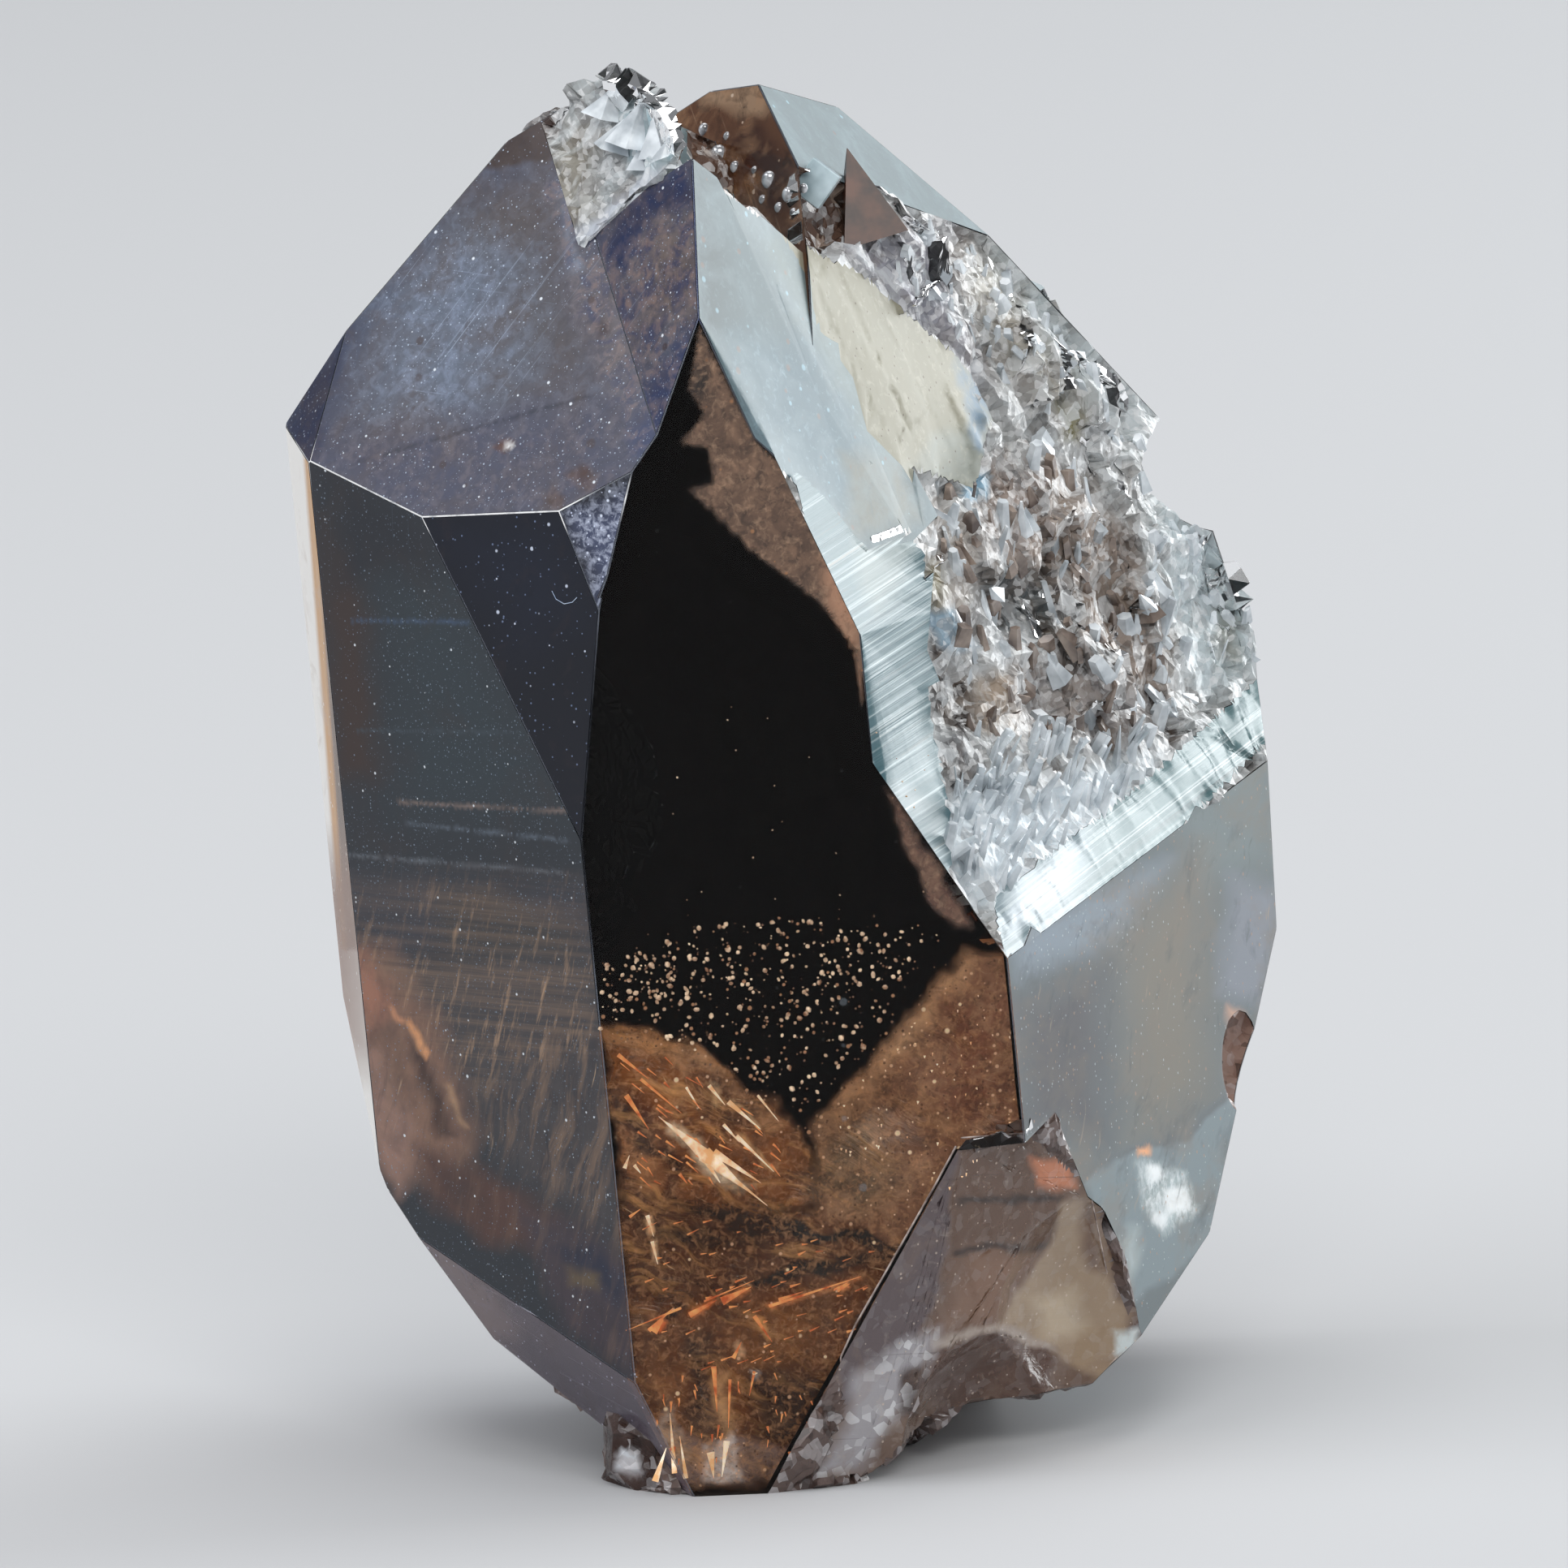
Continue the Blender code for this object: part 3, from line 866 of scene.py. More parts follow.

# %% [markdown]
# ## The left side
# A narrow strip at the far left is white and gold; its white is a painted reflection of light. Beside it
# the tall prism face is dark slate with faint lines across it, and lower down brown and gold streaks glow
# through. Two small wedges lie under the tip face: one navy, and one frosted white.

# %% Left strip, prism and wedges
# Painted reflection: the strip's near-white tint stands in for light reflected off it.
strip_film = film(
    "white_strip_painted_reflection",
    rough=0.25,
    overlays=[
        ("mottling", {"Size": 1.8, "Amount": 0.2}, (190, 168, 150), 0.5, 0),
        ("growth_lines", {"Spacing": 0.9, "Amount": 0.0, "turn": 90}, (120, 92, 66), 0.6, 0),
        ("specks", {"Size": 0.3, "Amount": 0.3}, (250, 246, 236), 0.6, 0.5),
    ],
)
dress("left_strip_painted_reflection", by_face("left strip"), strip_film, (252, 248, 242), 0.97, 0.3, 0.0,
      [
          patch([(374, 558), (388, 570), (430, 1170), (420, 1170)], 2, tint=(206, 150, 78)),
          patch([(384, 560), (398, 570), (440, 1170), (427, 1170)], 2, tint=(96, 66, 42)),
          patch([(340, 1060), (460, 1060), (460, 1300), (340, 1300)], 50, tint=(150, 108, 84), cover=0.85),
      ], ((380, 600), (420, 1100)), shake=1.5)

slate = film(
    "slate_prism",
    rough=0.28,
    overlays=[
        ("mottling", {"Size": 3.0, "Amount": 0.24}, (48, 38, 38), 0.4, 0),
        ("growth_lines", {"Spacing": 0.12, "Amount": 0.03, "turn": 84}, (64, 78, 90), 0.5, 0),
        ("growth_lines", {"Spacing": 1.6, "Amount": -0.02, "turn": 0}, (88, 100, 112), 0.5, 0),
        ("mottling", {"Size": 1.4, "Amount": 0.3, "by": "streak"}, (38, 34, 42), 0.7, 0),
        ("growth_lines", {"Spacing": 0.55, "Amount": 0.2, "Run": 0.22, "Waver": 0.9, "turn": 98,
                          "by": "streak"}, (140, 112, 90), 0.8, 0),
        ("growth_lines", {"Spacing": 0.3, "Amount": 0.12, "Run": 0.25, "Waver": 0.9, "turn": 92,
                          "by": "streak"}, (26, 30, 42), 0.85, 0),
        ("growth_lines", {"Spacing": 0.2, "Amount": 0.04, "Run": 0.3, "Waver": 0.9, "turn": 96,
                          "by": "streak"}, (206, 174, 142), 0.8, 0),
        ("growth_lines", {"Spacing": 0.5, "Amount": 0.26, "Run": 0.05, "turn": 1, "by": "rows"},
         (132, 108, 90), 0.7, 0),
        ("growth_lines", {"Spacing": 0.32, "Amount": 0.14, "Run": 0.4, "turn": 97, "by": "rows"},
         (190, 154, 122), 0.75, 0),
        ("growth_lines", {"Spacing": 0.28, "Amount": 0.12, "Run": 0.1, "turn": 1, "by": "rows"},
         (34, 40, 48), 0.7, 0),
        ("specks", {"Size": 0.15, "Amount": 0.8, "amount by": "dust"}, (130, 146, 164), 0.7, 0.6),
        ("specks", {"Size": 0.10, "Amount": 0.9, "amount by": "dust"}, (110, 126, 144), 0.6, 0.5),
        ("specks", {"Size": 0.26, "Amount": 0.08}, (226, 232, 238), 0.9, 0.8),
    ],
)
LEFT_PATCHES = [
    patch([(395, 640), (446, 680), (468, 960), (412, 960)], 20, tint=(52, 37, 33), dust=0.4),
    patch([(400, 565), (530, 650), (560, 720), (420, 720)], 26, tint=(23, 28, 38), dust=0.7),
    patch([(470, 720), (560, 720), (700, 1000), (500, 1000)], 40, tint=(36, 48, 56), dust=1.0),
    patch([(432, 763), (578, 765), (578, 768), (432, 766)], 1.5, tint=(58, 78, 104), dust=1.0),
    patch([(440, 899), (640, 901), (640, 903), (440, 901)], 1.5, tint=(58, 70, 80), dust=1.0),
    patch([(490, 987), (700, 998), (700, 1001), (490, 990)], 1.5, tint=(120, 104, 98)),
    patch([(500, 1013), (700, 1034), (700, 1037), (500, 1016)], 1.5, tint=(82, 92, 104)),
    patch([(420, 1051), (700, 1074), (700, 1077), (420, 1054)], 1.5, tint=(92, 98, 106)),
    patch([(410, 1076), (730, 1090), (735, 1180), (420, 1190)], 24, tint=(52, 52, 60), dust=1.0, rows=0.4),
    patch([(540, 1100), (600, 1095), (700, 1140), (735, 1200), (540, 1200)], 16, tint=(58, 54, 54), rows=0.7),
    patch([(470, 1180), (735, 1180), (740, 1290), (590, 1340), (530, 1290)], 18, tint=(64, 60, 62),
          rows=1.0),
    patch([(424, 1160), (480, 1170), (545, 1270), (590, 1390), (560, 1470), (480, 1440), (430, 1330)], 18,
          tint=(128, 96, 80), dust=0.6, streak=0.5),
    patch([(424, 1165), (452, 1175), (480, 1240), (440, 1290), (426, 1240)], 14, tint=(158, 108, 88)),
    patch([(440, 1290), (470, 1300), (520, 1420), (490, 1470), (450, 1390)], 14, tint=(152, 118, 104)),
    patch([(560, 1290), (748, 1270), (768, 1540), (700, 1500), (620, 1430)], 22, tint=(66, 62, 64), streak=1.0),
    patch([(500, 1280), (524, 1300), (560, 1400), (540, 1400)], 6, tint=(70, 46, 38), streak=0.4),
    # Painted highlights: the next three small patches are orange glints.
    patch([(498, 1262), (506, 1258), (532, 1300), (526, 1308)], 3, tint=(226, 160, 110)),
    patch([(478, 1240), (484, 1238), (500, 1262), (494, 1264)], 3, tint=(196, 138, 102)),
    patch([(548, 1340), (554, 1338), (578, 1392), (574, 1394)], 4, tint=(184, 146, 112)),
    patch([(510, 1410), (590, 1440), (690, 1500), (700, 1545), (600, 1530), (530, 1480)], 14,
          tint=(80, 52, 44), streak=0.3),
    patch([(640, 1490), (720, 1510), (778, 1560), (786, 1700), (690, 1630)], 14, tint=(62, 52, 60), dust=0.6,
          streak=0.4),
    patch([(684, 1535), (740, 1540), (772, 1580), (768, 1610), (712, 1570)], 8, tint=(30, 34, 56), streak=0.3),
    patch([(700, 1560), (740, 1570), (735, 1590), (705, 1580)], 6, tint=(96, 80, 60)),
]
dress("slate_prism_face", by_face("left prism"), slate, (33, 39, 47), 0.94, 0.8, 0.0, LEFT_PATCHES,
      ((500, 1000), (700, 1016)), step=0.24, shake=4)

navy = film(
    "navy_wedge",
    rough=0.28,
    overlays=[
        ("mottling", {"Size": 1.2, "Amount": 0.2}, (50, 40, 44), 0.5, 0),
        ("mottling", {"Size": 0.35, "Amount": 0.2}, (14, 18, 30), 0.5, 0),
        ("specks", {"Size": 0.17, "Amount": 0.6, "amount by": "dust"}, (122, 138, 172), 0.7, 0.6),
        ("specks", {"Size": 0.32, "Amount": 0.12}, (206, 214, 232), 0.9, 0.8),
    ],
)
dress("navy_wedge_face", by_face("dark wedge"), navy, (17, 20, 31), 0.95, 0.6, 0.0,
      [patch([(530, 648), (700, 640), (720, 760), (640, 800)], 40, tint=(22, 27, 42), dust=0.9)],
      ((530, 648), (718, 1030)))

frost = film(
    "white_frost",
    rough=0.5,
    overlays=[
        ("specks", {"Size": 0.16, "Amount": 1.0, "amount by": "dust"}, (206, 214, 240), 0.95, 1.0),
        ("specks", {"Size": 0.26, "Amount": 1.0, "amount by": "dust"}, (222, 230, 248), 0.95, 1.0),
        ("mottling", {"Size": 0.3, "Amount": 0.3, "by": "dust"}, (214, 222, 244), 0.8, 0.8),
    ],
)
dress("frosted_wedge_face", by_face("frosted wedge"), frost, (22, 25, 38), 0.9, 0.25, 0.0,
      [patch([(700, 640), (790, 606), (764, 700), (742, 780), (728, 700)], 16, tint=(66, 74, 102),
             cover=0.9, dust=1.0)],
      ((700, 640), (740, 760)), step=0.2)

# %% [markdown]
# ## The front face
# The front face is polished and black. Only dust, a band of gold specks and two places where brown light comes
# through break the black, so its film is almost bare, and the brown comes from sheets inside the glass.

# %% Front face
front_film = film(
    "front_face_dust",
    rough=0.3,
    coat=0.5,
    overlays=[
        ("mottling", {"Size": 1.2, "Amount": 0.34, "by": "streak"}, (160, 124, 98), 0.6, 0),
        ("mottling", {"Size": 0.5, "Amount": 0.3, "by": "streak"}, (52, 34, 25), 0.75, 0),
        ("mottling", {"Size": 0.3, "Amount": 0.24, "by": "streak"}, (190, 154, 124), 0.6, 0),
        ("specks", {"Size": 0.40, "Amount": 1.0, "amount by": "dust"}, (168, 118, 78), 0.9, 1.0),
        ("specks", {"Size": 0.24, "Amount": 1.0, "amount by": "dust"}, (136, 92, 60), 0.8, 0.9),
        ("specks", {"Size": 0.7, "Amount": 0.05}, (180, 190, 200), 0.5, 0.6),
    ],
)
FRONT_PATCHES = [
    patch([(735, 1195), (860, 1140), (990, 1132), (1160, 1140), (1190, 1170), (1100, 1275), (990, 1390),
           (870, 1312), (745, 1275)], 18, dust=0.9),
    patch([(862, 402), (932, 545), (1052, 655), (1064, 790), (1062, 868), (1054, 800), (1010, 742),
           (930, 682), (848, 602), (880, 596), (872, 552), (838, 546), (868, 510), (848, 480)], 2,
          tint=(104, 78, 61), cover=0.92, dust=0.1, streak=1.0),
    patch([(850, 430), (872, 440), (884, 490), (850, 492)], 5, tint=(34, 22, 16)),
    patch([(1010, 690), (1050, 680), (1062, 860), (1030, 770)], 8, tint=(186, 138, 108), streak=0.7),
    patch([(1093, 968), (1120, 1010), (1162, 1080), (1200, 1150), (1150, 1120), (1112, 1030)], 4,
          tint=(96, 60, 46), cover=0.85, streak=0.8),
]
dress("front_face_film", by_face("front prism"), front_film, (10, 8, 8), 0.0, 0.0, 0.0,
      FRONT_PATCHES, ((760, 1300), (1240, 1300)), shake=4.0, step=0.26)

# %% [markdown]
# ## Pale tip face, striated strip and the lower crystal
# Right of the black face the crystal turns pale. The tip face there is frosted blue-grey, below it a narrow
# strip carries growth lines that climb to the right, and at the lower right a second crystal has its own
# pale, half clear face.

# %% Pale faces on the right
pale = film(
    "pale_frost",
    rough=0.4,
    overlays=[
        ("mottling", {"Size": 2.2, "Amount": 0.3}, (146, 166, 174), 0.45, 0),
        ("mottling", {"Size": 0.7, "Amount": 0.2}, (108, 124, 128), 0.5, 0),
        ("mottling", {"Size": 0.3, "Amount": 0.2, "by": "dust"}, (172, 202, 216), 0.5, 0),
        ("specks", {"Size": 0.5, "Amount": 0.5, "amount by": "dust"}, (166, 206, 222), 0.7, 0),
        ("specks", {"Size": 0.6, "Amount": 0.3, "amount by": "dust"}, (150, 120, 104), 0.5, 0),
    ],
)
dress("pale_tip_frost", by_face("pale tip face", "right tip face"), pale, (108, 126, 131), 0.95, 0.5,
      0.0,
      [
          patch([(846, 205), (880, 215), (900, 400), (862, 405)], 20, tint=(90, 104, 107)),
          patch([(900, 420), (1000, 420), (1100, 600), (1040, 640), (950, 560)], 30,
                tint=(102, 126, 137), dust=1.0),
          patch([(960, 285), (1050, 430), (1110, 570), (1080, 560), (1000, 420), (940, 300)], 12,
                tint=(122, 138, 138)),
          patch([(1040, 560), (1110, 560), (1135, 640), (1050, 662)], 12, tint=(132, 136, 128), dust=0.2),
      ], ((850, 210), (1100, 600)), step=0.26)

striped = film(
    "striped_growth",
    rough=0.3,
    overlays=[
        ("growth_lines", {"Spacing": 0.42, "Amount": 0.16, "turn": 0, "Run": 0.04}, (52, 88, 94), 0.85, 0),
        ("growth_lines", {"Spacing": 0.24, "Amount": 0.16, "turn": 0, "Run": 0.04, "raise": 0.8},
         (228, 242, 244), 0.9, 0),
        ("growth_lines", {"Spacing": 0.16, "Amount": 0.06, "turn": 0, "Run": 0.03}, (30, 46, 50), 0.8, 0),
        ("growth_lines", {"Spacing": 0.75, "Amount": 0.08, "turn": 0, "Run": 0.04}, (134, 120, 102), 0.7, 0),
    ],
)
dress("striped_right_strip", by_face("right strip"), striped, (84, 116, 124), 0.98, 0.5, 0.0,
      [
          patch([(1050, 650), (1094, 640), (1130, 680), (1080, 760), (1060, 720)], 10, tint=(116, 134, 134)),
          patch([(1096, 965), (1165, 990), (1170, 1060), (1160, 1082)], 8, tint=(122, 140, 145)),
      ], ((1060, 800), (1140, 748)), step=0.2, shake=3)

lower_film = film(
    "lower_crystal_bloom",
    rough=0.28,
    coat=0.3,
    overlays=[
        ("growth_lines", {"Spacing": 2.2, "Amount": 0.2, "turn": -42, "Run": 0.3, "Waver": 1.5},
         (126, 114, 98), 0.65, 0),
        ("growth_lines", {"Spacing": 1.1, "Amount": 0.12, "turn": -40, "Run": 0.3, "Waver": 1.5},
         (56, 66, 72), 0.6, 0),
        ("growth_lines", {"Spacing": 0.5, "Amount": 0.0, "turn": 0}, (150, 168, 172), 0.4, 0),
        ("growth_lines", {"Spacing": 0.3, "Amount": 0.04, "turn": -44, "Run": 0.25, "Waver": 1.2},
         (170, 152, 130), 0.75, 0),
        ("growth_lines", {"Spacing": 0.4, "Amount": 0.06, "turn": -40, "Run": 0.25, "Waver": 1.2},
         (58, 72, 78), 0.7, 0),
        # Painted highlight: white mottling where the rows value is raised, part of a white flash on this face.
        ("mottling", {"Size": 0.35, "Amount": 0.34, "by": "rows"}, (244, 250, 252), 0.8, 0.3),
        ("specks", {"Size": 0.30, "Amount": 0.7, "amount by": "dust"}, (176, 142, 116), 0.7, 0.5),
        ("specks", {"Size": 0.2, "Amount": 0.7, "amount by": "dust"}, (206, 218, 222), 0.7, 0.6),
    ],
)
LOWER_PATCHES = [
    patch([(1240, 1165), (1300, 1120), (1440, 1060), (1380, 1160), (1260, 1200)], 20, tint=(132, 148, 162),
          cover=0.9, dust=1.0),
    patch([(1440, 990), (1562, 900), (1572, 1060), (1480, 1090)], 24, tint=(112, 128, 130), cover=0.85),
    patch([(1380, 1160), (1480, 1050), (1490, 1350), (1400, 1400)], 34, tint=(124, 118, 104), cover=0.85),
    patch([(1250, 1240), (1360, 1190), (1360, 1400), (1262, 1390)], 30, tint=(88, 88, 92), cover=0.75,
          dust=0.9),
    patch([(1520, 1080), (1580, 1100), (1560, 1240), (1500, 1220)], 16, tint=(130, 138, 150)),
    patch([(1335, 1457), (1370, 1420), (1460, 1400), (1527, 1325), (1500, 1530), (1390, 1612)], 5,
          tint=(118, 136, 142), cover=0.9),
    patch([(1334, 1462), (1332, 1452), (1368, 1418), (1458, 1398), (1525, 1322), (1530, 1332),
           (1464, 1406), (1374, 1426)], 3, tint=(88, 98, 102)),
    # Painted highlight: the next four patches paint a white flash on this face.
    patch([(1404, 1436), (1430, 1440), (1462, 1446), (1470, 1490), (1436, 1520), (1414, 1490)], 9,
          tint=(168, 186, 188), cover=0.93, rows=1.0),
    patch([(1412, 1440), (1424, 1436), (1434, 1452), (1420, 1456)], 3, tint=(250, 254, 254), cover=1.0),
    patch([(1436, 1470), (1462, 1462), (1466, 1488), (1440, 1496)], 4, tint=(250, 254, 254), cover=1.0),
    patch([(1424, 1490), (1440, 1496), (1430, 1516), (1418, 1500)], 3, tint=(240, 246, 248), cover=1.0),
    patch([(1380, 1530), (1400, 1510), (1404, 1560), (1386, 1590)], 8, tint=(170, 184, 186)),
    # Painted highlights: a salmon gleam on the notch at the right, then a small orange glint.
    patch([(1512, 1236), (1536, 1250), (1530, 1380), (1514, 1330)], 6, tint=(206, 160, 134), cover=0.9),
    patch([(1404, 1416), (1414, 1414), (1414, 1426), (1404, 1426)], 3, tint=(240, 168, 110), cover=1.0),
]
dress("lower_crystal_film", by_face("right prism"), lower_film, (92, 106, 110), 0.86, 0.4, 0.0,
      LOWER_PATCHES, ((1260, 1160), (1560, 930)), step=0.26, shake=4)

# %% Outer right side
dress("outer_right_film", by_face("outer right", "outer lower right", "root outer right"), lower_film,
      (112, 122, 128), 0.75, 0.5, 0.0, [], ((1260, 1160), (1560, 930)), step=0.5)

# %% [markdown]
# ## The tops behind
# Behind the right tip face stands a second tip. Its left face is amber and half clear, its right face a pale
# cyan grey.

# %% Rear tips
amber_film = film(
    "amber_tip",
    rough=0.15,
    coat=0.6,
    overlays=[
        ("mottling", {"Size": 1.5, "Amount": 0.26}, (170, 130, 98), 0.65, 0),
        ("mottling", {"Size": 0.8, "Amount": 0.24}, (40, 22, 14), 0.85, 0.6),
        ("growth_lines", {"Spacing": 0.5, "Amount": 0.05, "turn": 0}, (206, 176, 150), 0.5, 0.5),
        ("specks", {"Size": 0.4, "Amount": 0.3}, (230, 206, 184), 0.7, 0.5),
    ],
)
dress("amber_rear_tip", by_face("amber tip face"), amber_film, (100, 66, 46), 0.8, 0.4, 0.0,
      [
          patch([(870, 105), (940, 105), (950, 140), (870, 135)], 8, tint=(160, 130, 104), cover=0.85),
          patch([(930, 140), (985, 220), (955, 270), (900, 190)], 10, tint=(62, 34, 24), cover=0.8),
      ],
      ((900, 110), (960, 280)), step=0.2)
dress("pale_rear_tip", by_face("pale rear tip face"), pale, (118, 134, 139), 0.95, 0.3, 0.0, [],
      ((940, 110), (1200, 275)))

# %% [markdown]
# ## Broken surfaces
# Where the crystal was torn from the rock its surface is a crust of tiny splinters, white where light scatters
# between them, brown and olive where clay stayed in the pits. A smooth cream patch and a band of bright
# growth lines border it.

# %% Crust, cream patch and growth band
crust = film(
    "splintered_crust",
    rough=0.3,
    bump=0.5,
    overlays=[
        ("mottling", {"Size": 1.8, "Amount": 0.28, "by": "dust"}, (150, 134, 120), 0.7, 0),
        ("mottling", {"Size": 1.0, "Amount": 0.2, "by": "dust"}, (104, 90, 78), 0.8, 0),
        ("growth_lines", {"Spacing": 1.0, "Amount": 0.06, "Run": 0.3, "Waver": 2.0, "turn": 4, "by": "dust"},
         (62, 50, 45), 0.85, 0),
        ("growth_lines", {"Spacing": 0.8, "Amount": 0.14, "Run": 0.3, "Waver": 2.0, "turn": -4,
                          "raise": 0.6}, (238, 244, 246), 0.7, 0),
        ("growth_lines", {"Spacing": 0.4, "Amount": 0.04, "Run": 0.35, "Waver": 2.0, "turn": 2},
         (96, 92, 90), 0.7, 0),
        ("broken_grain", {"Size": 0.9, "out": "Bright", "raise": 1.0}, (246, 250, 252), 0.6, 0.4),
        ("broken_grain", {"Size": 0.8, "out": "Dark"}, (112, 104, 100), 0.5, 0),
        ("broken_grain", {"Size": 0.3, "out": "Dark", "by": "dust"}, (44, 36, 33), 0.8, 0),
        ("broken_grain", {"Size": 0.24, "out": "Bright", "raise": 0.4}, (255, 255, 255), 0.5, 0.4),
    ],
)


def broken_at(low_x, high_x, low_z, high_z):
    """Picks the broken faces whose middle lies in a band of x and z, in millimetres."""
    def pick(face, layer):
        middle = face.calc_center_median() / MM
        return face[layer] == BROKEN and low_x <= middle.x < high_x and low_z <= middle.z < high_z
    return pick


TIP_X = -3.7
CRUST_PATCHES = [
    patch([(1030, 300), (1180, 270), (1260, 400), (1200, 470), (1070, 340)], 20, tint=(164, 164, 174), dust=0.4),
    patch([(1160, 290), (1300, 340), (1400, 470), (1300, 500), (1200, 420)], 26, tint=(180, 176, 166), dust=0.6),
    patch([(1300, 490), (1335, 510), (1335, 545), (1310, 540)], 8, tint=(128, 122, 84), dust=0.6),
    patch([(1190, 560), (1290, 580), (1330, 700), (1230, 700)], 18, tint=(168, 154, 146), dust=0.9),
    patch([(1280, 560), (1400, 660), (1470, 800), (1440, 880), (1330, 820), (1280, 700)], 24,
          tint=(160, 146, 136), dust=0.9),
    patch([(1140, 600), (1200, 640), (1210, 740), (1150, 780)], 12, tint=(190, 184, 178), dust=0.3),
    patch([(1205, 694), (1250, 690), (1336, 745), (1325, 790), (1260, 796), (1225, 770)], 5,
          tint=(78, 84, 86), dust=1.0),
    patch([(1268, 700), (1320, 720), (1340, 760), (1300, 740)], 6, tint=(66, 56, 54), dust=1.0),
    patch([(1140, 785), (1160, 780), (1180, 800), (1206, 880), (1186, 906), (1152, 880)], 6,
          tint=(46, 36, 30), dust=1.0),
    patch([(1200, 840), (1250, 820), (1270, 900), (1210, 900)], 12, tint=(178, 160, 142), dust=0.5),
    patch([(1140, 690), (1168, 700), (1160, 750), (1138, 740)], 8, tint=(126, 118, 84), dust=0.6),
    patch([(1140, 748), (1170, 752), (1206, 800), (1190, 806), (1150, 790)], 4, tint=(148, 172, 188), dust=0.1),
    patch([(1180, 585), (1212, 575), (1222, 610), (1196, 624)], 4, tint=(146, 184, 206), dust=0.1),
    patch([(1250, 820), (1340, 800), (1420, 880), (1400, 920), (1260, 900)], 16, tint=(168, 162, 160), dust=1.0),
    patch([(1310, 795), (1338, 800), (1340, 830), (1316, 834)], 4, tint=(22, 16, 14), dust=1.0),
    patch([(1345, 790), (1380, 800), (1378, 836), (1352, 826)], 5, tint=(66, 70, 72), dust=1.0),
    patch([(1410, 850), (1430, 850), (1452, 900), (1440, 930)], 4, tint=(66, 56, 52), dust=1.0),
    patch([(1284, 880), (1300, 890), (1310, 960), (1300, 980)], 4, tint=(96, 78, 68), dust=1.0),
    patch([(1150, 915), (1190, 900), (1206, 980), (1170, 1000)], 10, tint=(112, 112, 114), dust=0.7),
    patch([(1420, 600), (1540, 680), (1566, 830), (1470, 860), (1430, 740)], 26, tint=(204, 216, 220), dust=0.2),
    patch([(1220, 300), (1440, 480), (1400, 560), (1270, 400)], 20, tint=(200, 208, 210), dust=0.3),
    patch([(1490, 740), (1530, 760), (1530, 830), (1500, 810)], 10, tint=(160, 168, 164), dust=0.6),
    patch([(1166, 980), (1300, 960), (1430, 930), (1400, 980), (1240, 1110), (1190, 1120), (1168, 1060)], 14,
          tint=(224, 234, 240), dust=0.05),
]
dress("contact_crust", broken_at(TIP_X, 40, 20, 80), crust, (184, 186, 186), 0.97, 0.5, 0.0,
      CRUST_PATCHES, ((1200, 700), (1300, 880)), step=0.45, flat=False)
dress("tip_crust", broken_at(-40, TIP_X, 20, 80), crust, (172, 178, 180), 0.93, 0.4, 0.0,
      [
          patch([(596, 208), (640, 130), (706, 128), (668, 205)], 7, tint=(52, 30, 26), cover=0.9, dust=0.2),
          patch([(668, 205), (700, 150), (740, 160), (730, 260), (690, 300)], 14, tint=(150, 146, 136)),
          patch([(765, 130), (830, 130), (830, 200), (780, 200)], 12, tint=(176, 200, 208), dust=0.1),
          patch([(690, 320), (740, 290), (816, 206), (800, 206), (730, 276), (684, 300)], 6,
                tint=(206, 212, 222), dust=0.0),
      ],
      ((600, 200), (760, 100)), step=0.45, flat=False)
jumble_film = film(
    "tumbled_crystals",
    rough=0.12,
    coat=0.6,
    overlays=[
        ("broken_grain", {"Size": 0.9, "out": "Bright"}, (196, 176, 160), 0.8, 0.3),
        ("broken_grain", {"Size": 0.6, "out": "Dark", "raise": 1.0}, (36, 22, 18), 0.9, 0.6),
        ("broken_grain", {"Size": 0.35, "out": "Bright", "raise": 1.0}, (240, 240, 240), 0.7, 0.5),
    ],
)
dress("tumbled_top_film", by_face(JUMBLE), jumble_film, (104, 80, 68), 0.85, 0.4, 0.0, [],
      ((820, 120), (985, 260)), step=0.45, flat=False)

cream_film = film(
    "cream_frost",
    rough=0.45,
    overlays=[
        ("mottling", {"Size": 1.4, "Amount": 0.26}, (160, 158, 140), 0.6, 0),
        ("mottling", {"Size": 0.4, "Amount": 0.2}, (204, 200, 184), 0.6, 0),
        ("mottling", {"Size": 0.6, "Amount": 0.1}, (110, 100, 76), 0.7, 0),
        ("specks", {"Size": 0.25, "Amount": 0.4}, (92, 76, 56), 0.7, 0),
    ],
)
dress("cream_patch_film", by_face(CREAM), cream_film, (158, 154, 134), 0.96, 0.4, 0.0,
      [
          patch([(1150, 540), (1222, 510), (1210, 610), (1120, 590)], 14, tint=(160, 164, 154)),
          patch([(1180, 440), (1222, 500), (1215, 560), (1200, 540)], 6, tint=(128, 150, 168)),
      ], ((960, 285), (1200, 560)), step=0.3)
band_film = film(
    "bright_growth_band",
    rough=0.25,
    overlays=[
        ("growth_lines", {"Spacing": 0.5, "Amount": 0.2, "turn": 0, "Run": 0.03}, (58, 92, 96), 0.85, 0),
        ("growth_lines", {"Spacing": 0.22, "Amount": 0.16, "turn": 0, "Run": 0.03, "raise": 1.0},
         (236, 246, 248), 0.9, 0),
        ("growth_lines", {"Spacing": 0.3, "Amount": 0.06, "turn": 0, "Run": 0.03}, (38, 44, 44), 0.85, 0),
    ],
)
dress("growth_band_film", by_face(BAND), band_film, (100, 130, 134), 0.96, 0.4, 0.0,
      [patch([(1225, 1105), (1238, 1182), (1330, 1120), (1330, 1020)], 30, tint=(196, 208, 216))],
      ((1240, 1120), (1560, 875)), step=0.25, shake=3)
